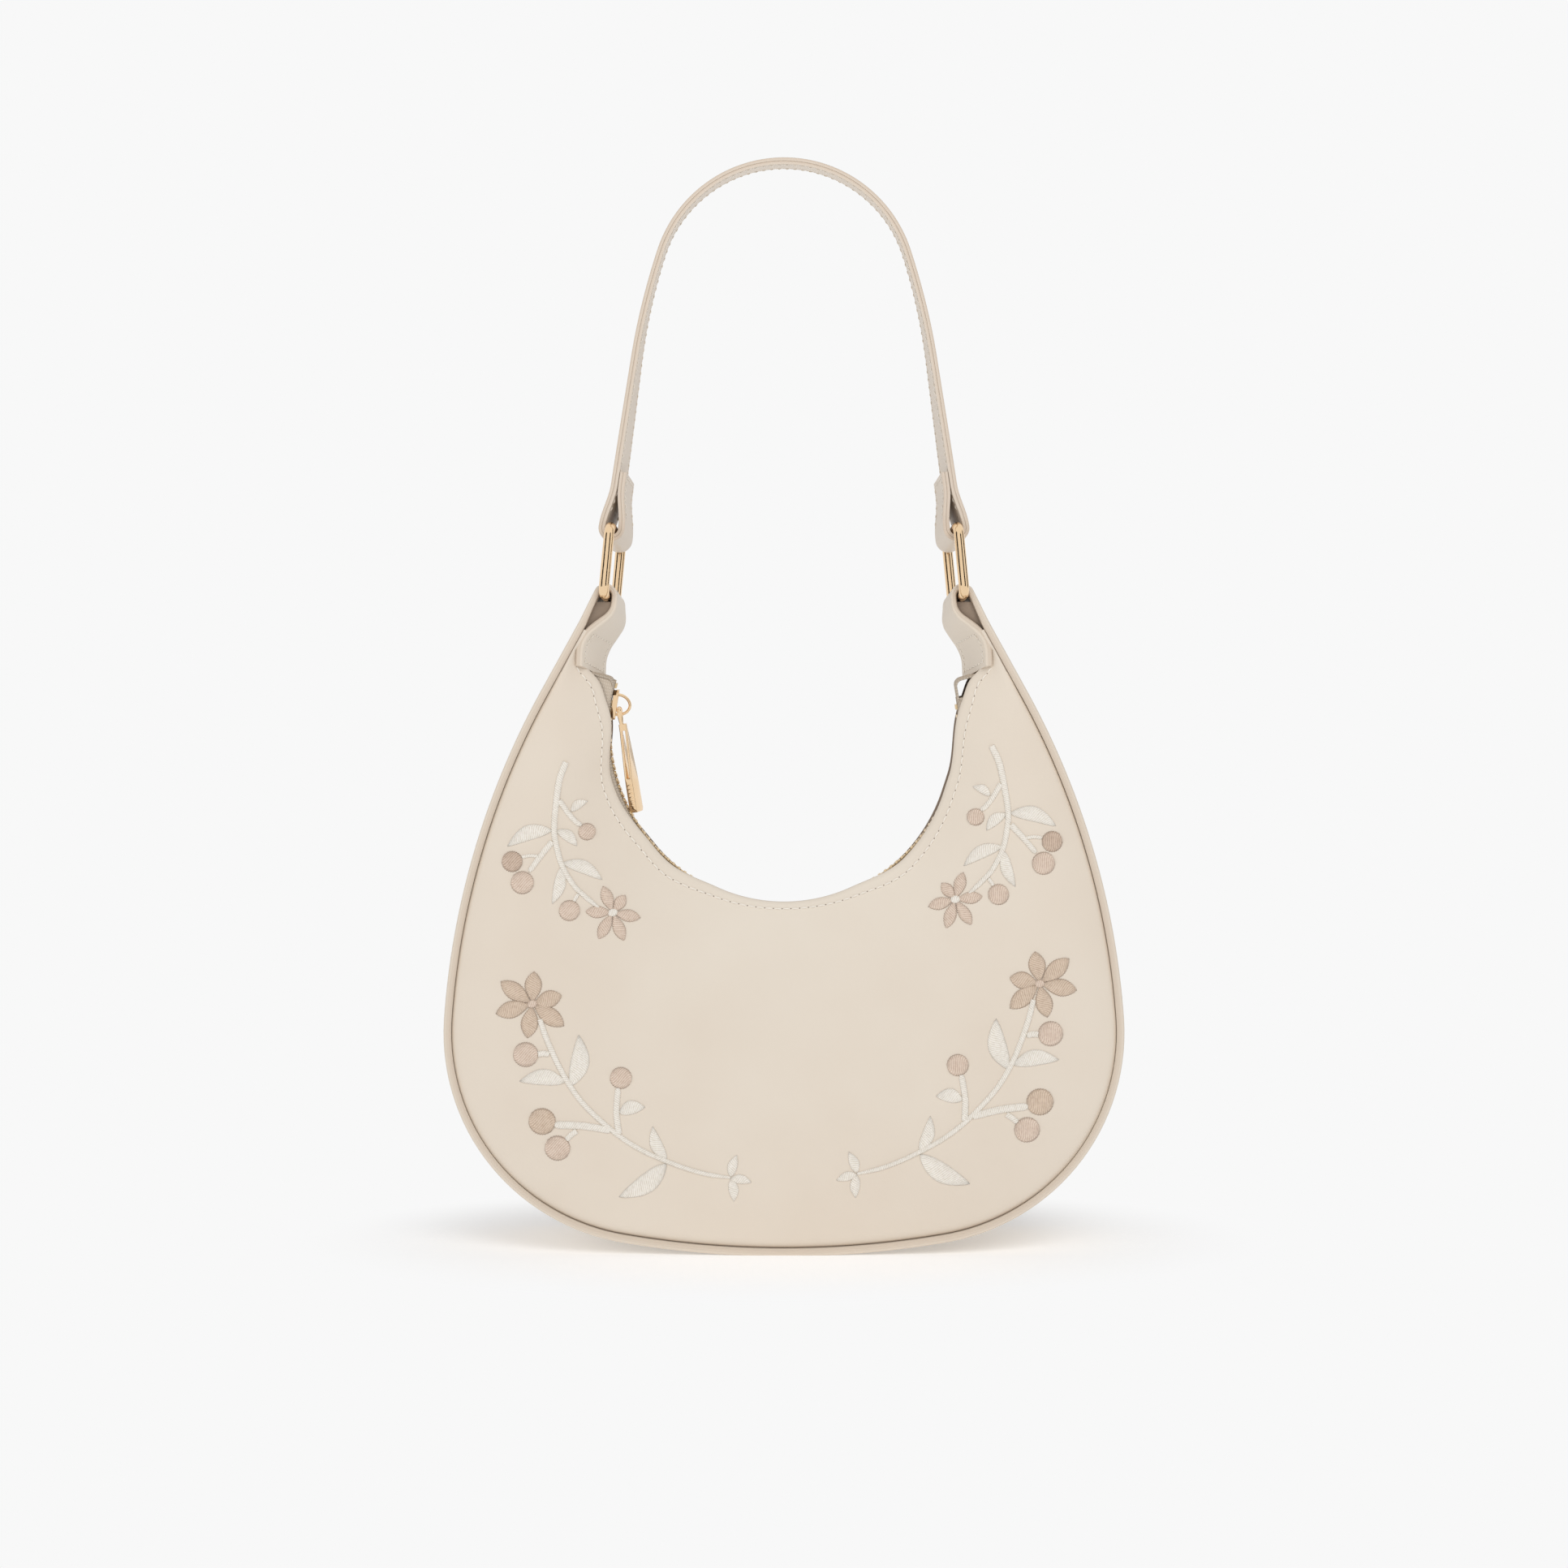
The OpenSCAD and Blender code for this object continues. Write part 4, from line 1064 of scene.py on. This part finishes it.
# Embroidery: sprigs in satin stitch on the front panel, two at each side. The stems and leaves
# are ivory thread, and the blossoms and berries are in muted rose, taupe and sand.
UPPER = {
    "stems": [
        ([
            (-83.7, 188.6), (-86.2, 181.5), (-87.7, 169.8), (-88.1, 162.1), (-87.0, 155.6),
            (-84.9, 148.8), (-80.6, 141.6), (-76.2, 137.2), (-71.2, 133.0),
        ], 2.7, 1.9),
        ([(-86.2, 174.1), (-82.8, 169.1), (-80.0, 165.8), (-77.9, 164.3)], 2.2, 2.0),
        ([(-88.9, 158.3), (-93.2, 153.0), (-97.5, 147.2)], 2.5, 2.1),
        ([(-94.3, 153.0), (-97.5, 153.2), (-100.3, 152.7)], 1.4, 1.4),
        ([(-78.9, 138.2), (-79.9, 136.8), (-80.5, 135.5)], 1.6, 1.4),
    ],
    "leaves": [
        ([(-81.9, 169.7), (-75.4, 173.5)], 3.6, 0.12), ([(-88.9, 162.8), (-105.9, 156.7)], 6.0, -0.12),
        ([(-87.1, 162.7), (-79.4, 156.5)], 4.4, 0.1), ([(-84.9, 150.3), (-69.8, 143.4)], 5.2, 0.1),
        ([(-85.5, 148.5), (-88.8, 134.7)], 4.7, 0.08),
    ],
    "rose_berries": [((-75.7, 161.8), 3.3), ((-100.1, 143.0), 4.4), ((-82.2, 132.1), 4.0)],
    "taupe_berries": [((-104.0, 151.0), 4.0)],
    "flower": ((-65.8, 130.9), [
        (-69.5, 141.0), (-61.0, 137.3), (-55.2, 128.6), (-61.4, 120.2), (-71.1, 121.1), (-76.1, 131.6),
    ], 4.7, "rose"),
}
LOWER = {
    "stems": [
        ([
            (-93.3, 91.1), (-90.7, 83.6), (-86.6, 74.3), (-82.6, 66.9), (-77.3, 59.4), (-70.5, 52.6),
            (-62.4, 45.9), (-54.4, 40.9), (-46.3, 37.2), (-37.0, 33.7), (-28.9, 31.5), (-20.5, 30.3),
        ], 2.35, 1.7),
        ([(-94.0, 77.8), (-92.0, 78.1), (-89.6, 77.8)], 2.5, 2.3),
        ([(-63.2, 47.2), (-64.1, 55.3), (-63.5, 64.7)], 2.6, 2.4),
        ([(-66.5, 48.6), (-77.3, 50.3), (-87.7, 50.7)], 2.8, 3.1),
        ([(-79.3, 48.3), (-81.4, 46.8), (-83.3, 44.9)], 2.4, 2.2),
    ],
    "leaves": [
        ([(-81.3, 65.6), (-78.5, 85.0)], 7.4, -0.1), ([(-83.6, 67.2), (-101.1, 67.5)], 6.4, -0.1),
        ([(-63.1, 55.3), (-53.1, 57.4)], 5.6, 0.1), ([(-45.0, 37.2), (-50.3, 50.0)], 5.0, 0.1),
        ([(-45.0, 35.6), (-63.2, 22.7)], 7.7, 0.08), ([(-20.5, 30.6), (-18.0, 39.0)], 4.0, 0.05),
        ([(-20.5, 30.0), (-12.4, 28.5)], 3.7, 0.05), ([(-20.3, 29.8), (-19.1, 21.1)], 4.0, 0.05),
    ],
    "rose_berries": [((-98.7, 77.7), 4.8), ((-62.4, 68.5), 4.2), ((-86.7, 41.7), 4.9)],
    "sand_berries": [((-92.5, 52.0), 5.2)],
    "flower": ((-96.2, 97.0), [
        (-95.5, 109.3), (-85.0, 100.1), (-84.1, 88.5), (-98.0, 84.0), (-110.1, 93.3), (-108.2, 105.6),
    ], 6.7, "sand"),
}
SPRIGS = [
    (UPPER, None), (UPPER, ((65.8, 130.9), 3.99, (65.9, 135.9))),
    (LOWER, None), (LOWER, ((96.2, 97.0), 4.91, (97.7, 104.7))),
]
front_skin = BVHTree.FromObject(panels[-1], bpy.context.evaluated_depsgraph_get())


def on_panel(x, z, lift):
    """The point on the front panel at x and z in millimetres, lifted off it along its normal."""
    start = Vector((x * 0.001, -0.2, z * 0.001))
    place, normal, index, distance = front_skin.ray_cast(start, Vector((0, 1, 0)))
    if normal.y > 0:
        normal = -normal
    return place * 1000 + lift * normal


def turned_about(p, place):
    """A point of a left sprig, or its place in the right one: mirrored, turned and moved."""
    if not place:
        return Vector((p[0], p[1]))
    (cx, cz), turn, (tx, tz) = place
    x, z = -p[0] - cx, p[1] - cz
    a = math.radians(turn)
    return Vector((tx + x * math.cos(a) - z * math.sin(a), tz + x * math.sin(a) + z * math.cos(a)))


def curve_through(points, count):
    """Evenly spaced places on a smooth curve through points (Catmull-Rom), and its length."""
    ends = [2 * points[0] - points[1]] + points + [2 * points[-1] - points[-2]]
    fine = []
    for a, b, c, d in zip(ends, ends[1:], ends[2:], ends[3:]):
        for k in range(12):
            t = k / 12
            square, cube = 2 * a - 5 * b + 4 * c - d, 3 * b - a - 3 * c + d
            fine.append(0.5 * (2 * b + (c - a) * t + square * t * t + cube * t**3))
    fine.append(points[-1])
    lengths = [0]
    for a, b in zip(fine, fine[1:]):
        lengths.append(lengths[-1] + (b - a).length)
    even, i = [], 0
    for k in range(count):
        want = lengths[-1] * k / (count - 1)
        while i < len(fine) - 2 and lengths[i + 1] < want:
            i += 1
        t = (want - lengths[i]) / max(lengths[i + 1] - lengths[i], 1e-9)
        even.append(fine[i].lerp(fine[i + 1], max(0, min(1, t))))
    return even, lengths[-1]


def satin(name, points, width_at, height, bow=0.0, outline_shade=0.0, serrate=0.0):
    """A padded satin-stitch shape along points. width_at gives its width at 0 to 1 along it, bow
    bends it sideways, outline_shade is how dark the painted shade of its outline is and serrate
    roughens its edge."""
    count = max(8, min(60, int(8 + (points[-1] - points[0]).length * 1.6)))
    spine, length = curve_through(points, count)
    rings, marks = [], []
    for i, p in enumerate(spine):
        t = i / (count - 1)
        along = (spine[min(i + 1, count - 1)] - spine[max(i - 1, 0)]).normalized()
        side = Vector((-along.y, along.x))
        p = p + side * bow * length * math.sin(math.pi * t)
        half = max(width_at(t), 0.12) / 2 + serrate * (0.5 if i % 2 else -0.5)
        ring, shades = [], []
        for k in range(11):
            v = math.cos(math.pi * k / 10)
            q = p + side * half * v
            crown = height * math.sqrt(max(0, 1 - v * v)) * min(1, half / 0.9)
            ring.append(on_panel(q.x, q.y, crown + (0.03 if 0 < k < 10 else -0.05)))
            # Painted shade darkens the outline here, and the underside points below.
            shades.append(outline_shade * ease((abs(v) - 0.86) / 0.12))
        for v in (-0.9, 0, 0.9):
            q = p + side * half * v
            ring.append(on_panel(q.x, q.y, -0.35))
            shades.append(outline_shade)
        rings.append(ring)
        marks.append(shades)
    return loft(name, rings, marks, (max(width_at(t / 8) for t in range(9)) * 0.002, length * 0.001))


def taper(start, end):
    """Width of a stem at 0 to 1 along it, thinned at both ends."""
    return lambda t: lerp(start, end, t) * min(1, 0.88 + 3 * t, 0.6 + 6 * (1 - t))


def lens(width, fat=0.45):
    """Width of a leaf at 0 to 1 along it, fullest at fat, and pointed at both ends."""
    power = math.log(0.5) / math.log(fat)
    return lambda t: width * math.sin(math.pi * t**power) ** 0.8


def disc(width):
    """Width of a round shape at 0 to 1 along it."""
    return lambda t: width * math.sqrt(max(0, 1 - (2 * t - 1) ** 2))


worked = {"ivory": [], "rose": [], "taupe": [], "sand": []}
for sprig, place in SPRIGS:
    flip_bow = -1 if place else 1
    for points, start, end in sprig["stems"]:
        points = [turned_about(p, place) for p in points]
        worked["ivory"].append(satin("stem", points, taper(start, end), 0.8, outline_shade=0.2))
    for (root, tip), width, bow in sprig["leaves"]:
        root, tip = turned_about(root, place), turned_about(tip, place)
        points = [root, (root + tip) / 2, tip]
        worked["ivory"].append(satin("leaf", points, lens(width), 0.75, bow * flip_bow, outline_shade=0.3))
    for colour in ("rose", "taupe", "sand"):
        for (x, z), radius in sprig.get(colour + "_berries", []):
            reaches = [radius * t for t in (-0.96, 0, 0.96)]
            points = [turned_about((x + reach, z - 0.3 * reach), place) for reach in reaches]
            worked[colour].append(satin("berry", points, disc(2 * radius), 0.8, outline_shade=0.55, serrate=0.3))
    centre, tips, width, colour = sprig["flower"]
    middle = turned_about(centre, place)
    for tip in tips:
        tip = turned_about(tip, place)
        points = [middle.lerp(tip, 0.04), middle.lerp(tip, 0.55), tip]
        worked[colour].append(satin("petal", points, lens(width, 0.56), 0.75, outline_shade=0.6, serrate=0.24))
    knot = [middle + Vector((t * 1.9, t * 0.4)) for t in (-1, 0, 1)]
    worked["ivory" if colour == "rose" else "rose"].append(satin("knot", knot, disc(3.2), 1.0, outline_shade=0.4))

satin_threads, nodes, links, given, made = new_group("satin_threads", (), ("Height", "Tone"))
place = add_node(nodes, "TexCoord")
slant = add_node(nodes, "Mapping", Rotation=(0, 0, math.radians(24)))
threads = add_node(
    nodes, "TexWave", bands_direction="Y", wave_profile="SIN", Scale=400.0, Distortion=0.6, Detail=1.0,
)
uneven = add_node(nodes, "TexNoise", Scale=900.0, Detail=2.0)
connect(
    links,
    (place, "UV", slant, "Vector"), (slant, "Vector", threads, "Vector"),
    (place, "Object", uneven, "Vector"),
    (threads, "Fac", made, "Height"), (uneven, "Fac", made, "Tone"),
)


def make_floss(name, light, dark, edge):
    """Embroidery floss: fine slanted threads, with painted shade in the hollows between them and
    painted shade, the edge colour, along the outline.
    """
    material, nodes, links, shader = new_material(
        name, Roughness=0.42, Specular_IOR_Level=0.4, Sheen_Weight=0.15,
    )
    floss = add_node(nodes, "Group", node_tree=satin_threads)
    hollow_shade_and_tone = add_node(nodes, "Math", operation="MULTIPLY_ADD")
    hollow_shade_and_tone.inputs[1].default_value = 0.6
    shade_and_tone_factor = add_node(nodes, "MapRange", From_Min=0.4, From_Max=1.0)
    connect(
        links,
        (floss, "Height", hollow_shade_and_tone, 0), (floss, "Tone", hollow_shade_and_tone, 2), (hollow_shade_and_tone, "Value", shade_and_tone_factor, "Value"),
    )
    colour_and_shade(nodes, links, shader, shade_and_tone_factor.outputs["Result"], dark, light, edge)
    emboss(nodes, links, shader, floss.outputs["Height"], 1.0, 0.00018)
    return material


# Each floss: light and dark thread colours, and an edge colour that is the painted shade of its outline.
for colour, light, dark, edge in (
    ("ivory", (0.93, 0.88, 0.80), (0.76, 0.69, 0.59), (0.50, 0.42, 0.34)),
    ("rose", (0.80, 0.655, 0.54), (0.60, 0.45, 0.35), (0.33, 0.24, 0.18)),
    ("taupe", (0.68, 0.53, 0.42), (0.48, 0.35, 0.26), (0.28, 0.20, 0.15)),
    ("sand", (0.75, 0.60, 0.47), (0.55, 0.41, 0.30), (0.32, 0.23, 0.17)),
):
    sprigs = join_as("embroidery_" + colour, worked[colour])
    finish_piece(sprigs, 60, make_floss(colour + "_floss", light, dark, edge), "zip_tape", "bag")


# Studio flags: dark cards beside and behind the camera that only the polished metal reflects,
# so that its round wires show the dark stripes of a studio.
FLAG_R, FLAG_MID_Z, FLAG_H = 2.2, 0.75, 1.9
FLAGS = (("flag_left", -78, -46), ("flag_right", 22, 47), ("flag_side", 84, 110))

flag_black, nodes, links, shader = new_material(
    "flag_black", Base_Color=(0.02, 0.015, 0.01, 1), Roughness=1.0,
)
clear = add_node(nodes, "BsdfTransparent")
rays = add_node(nodes, "LightPath")
mix = add_node(nodes, "MixShader")
connect(
    links,
    (rays, "Is Glossy Ray", mix, "Fac"), (clear, "BSDF", mix, 1), (shader, "BSDF", mix, 2),
    (mix, "Shader", nodes["Material Output"], "Surface"),
)
for name, start, end in FLAGS:
    bpy.ops.object.select_all(action="DESELECT")
    bpy.ops.mesh.primitive_grid_add(x_subdivisions=6, y_subdivisions=1, size=1)
    card = bpy.context.object
    card.name = name
    for v in card.data.vertices:
        a = math.radians(lerp(start, end, v.co.x + 0.5))
        v.co = (FLAG_R * math.sin(a), -FLAG_R * math.cos(a), FLAG_MID_Z + FLAG_H * v.co.y)
    card.data.materials.append(flag_black)
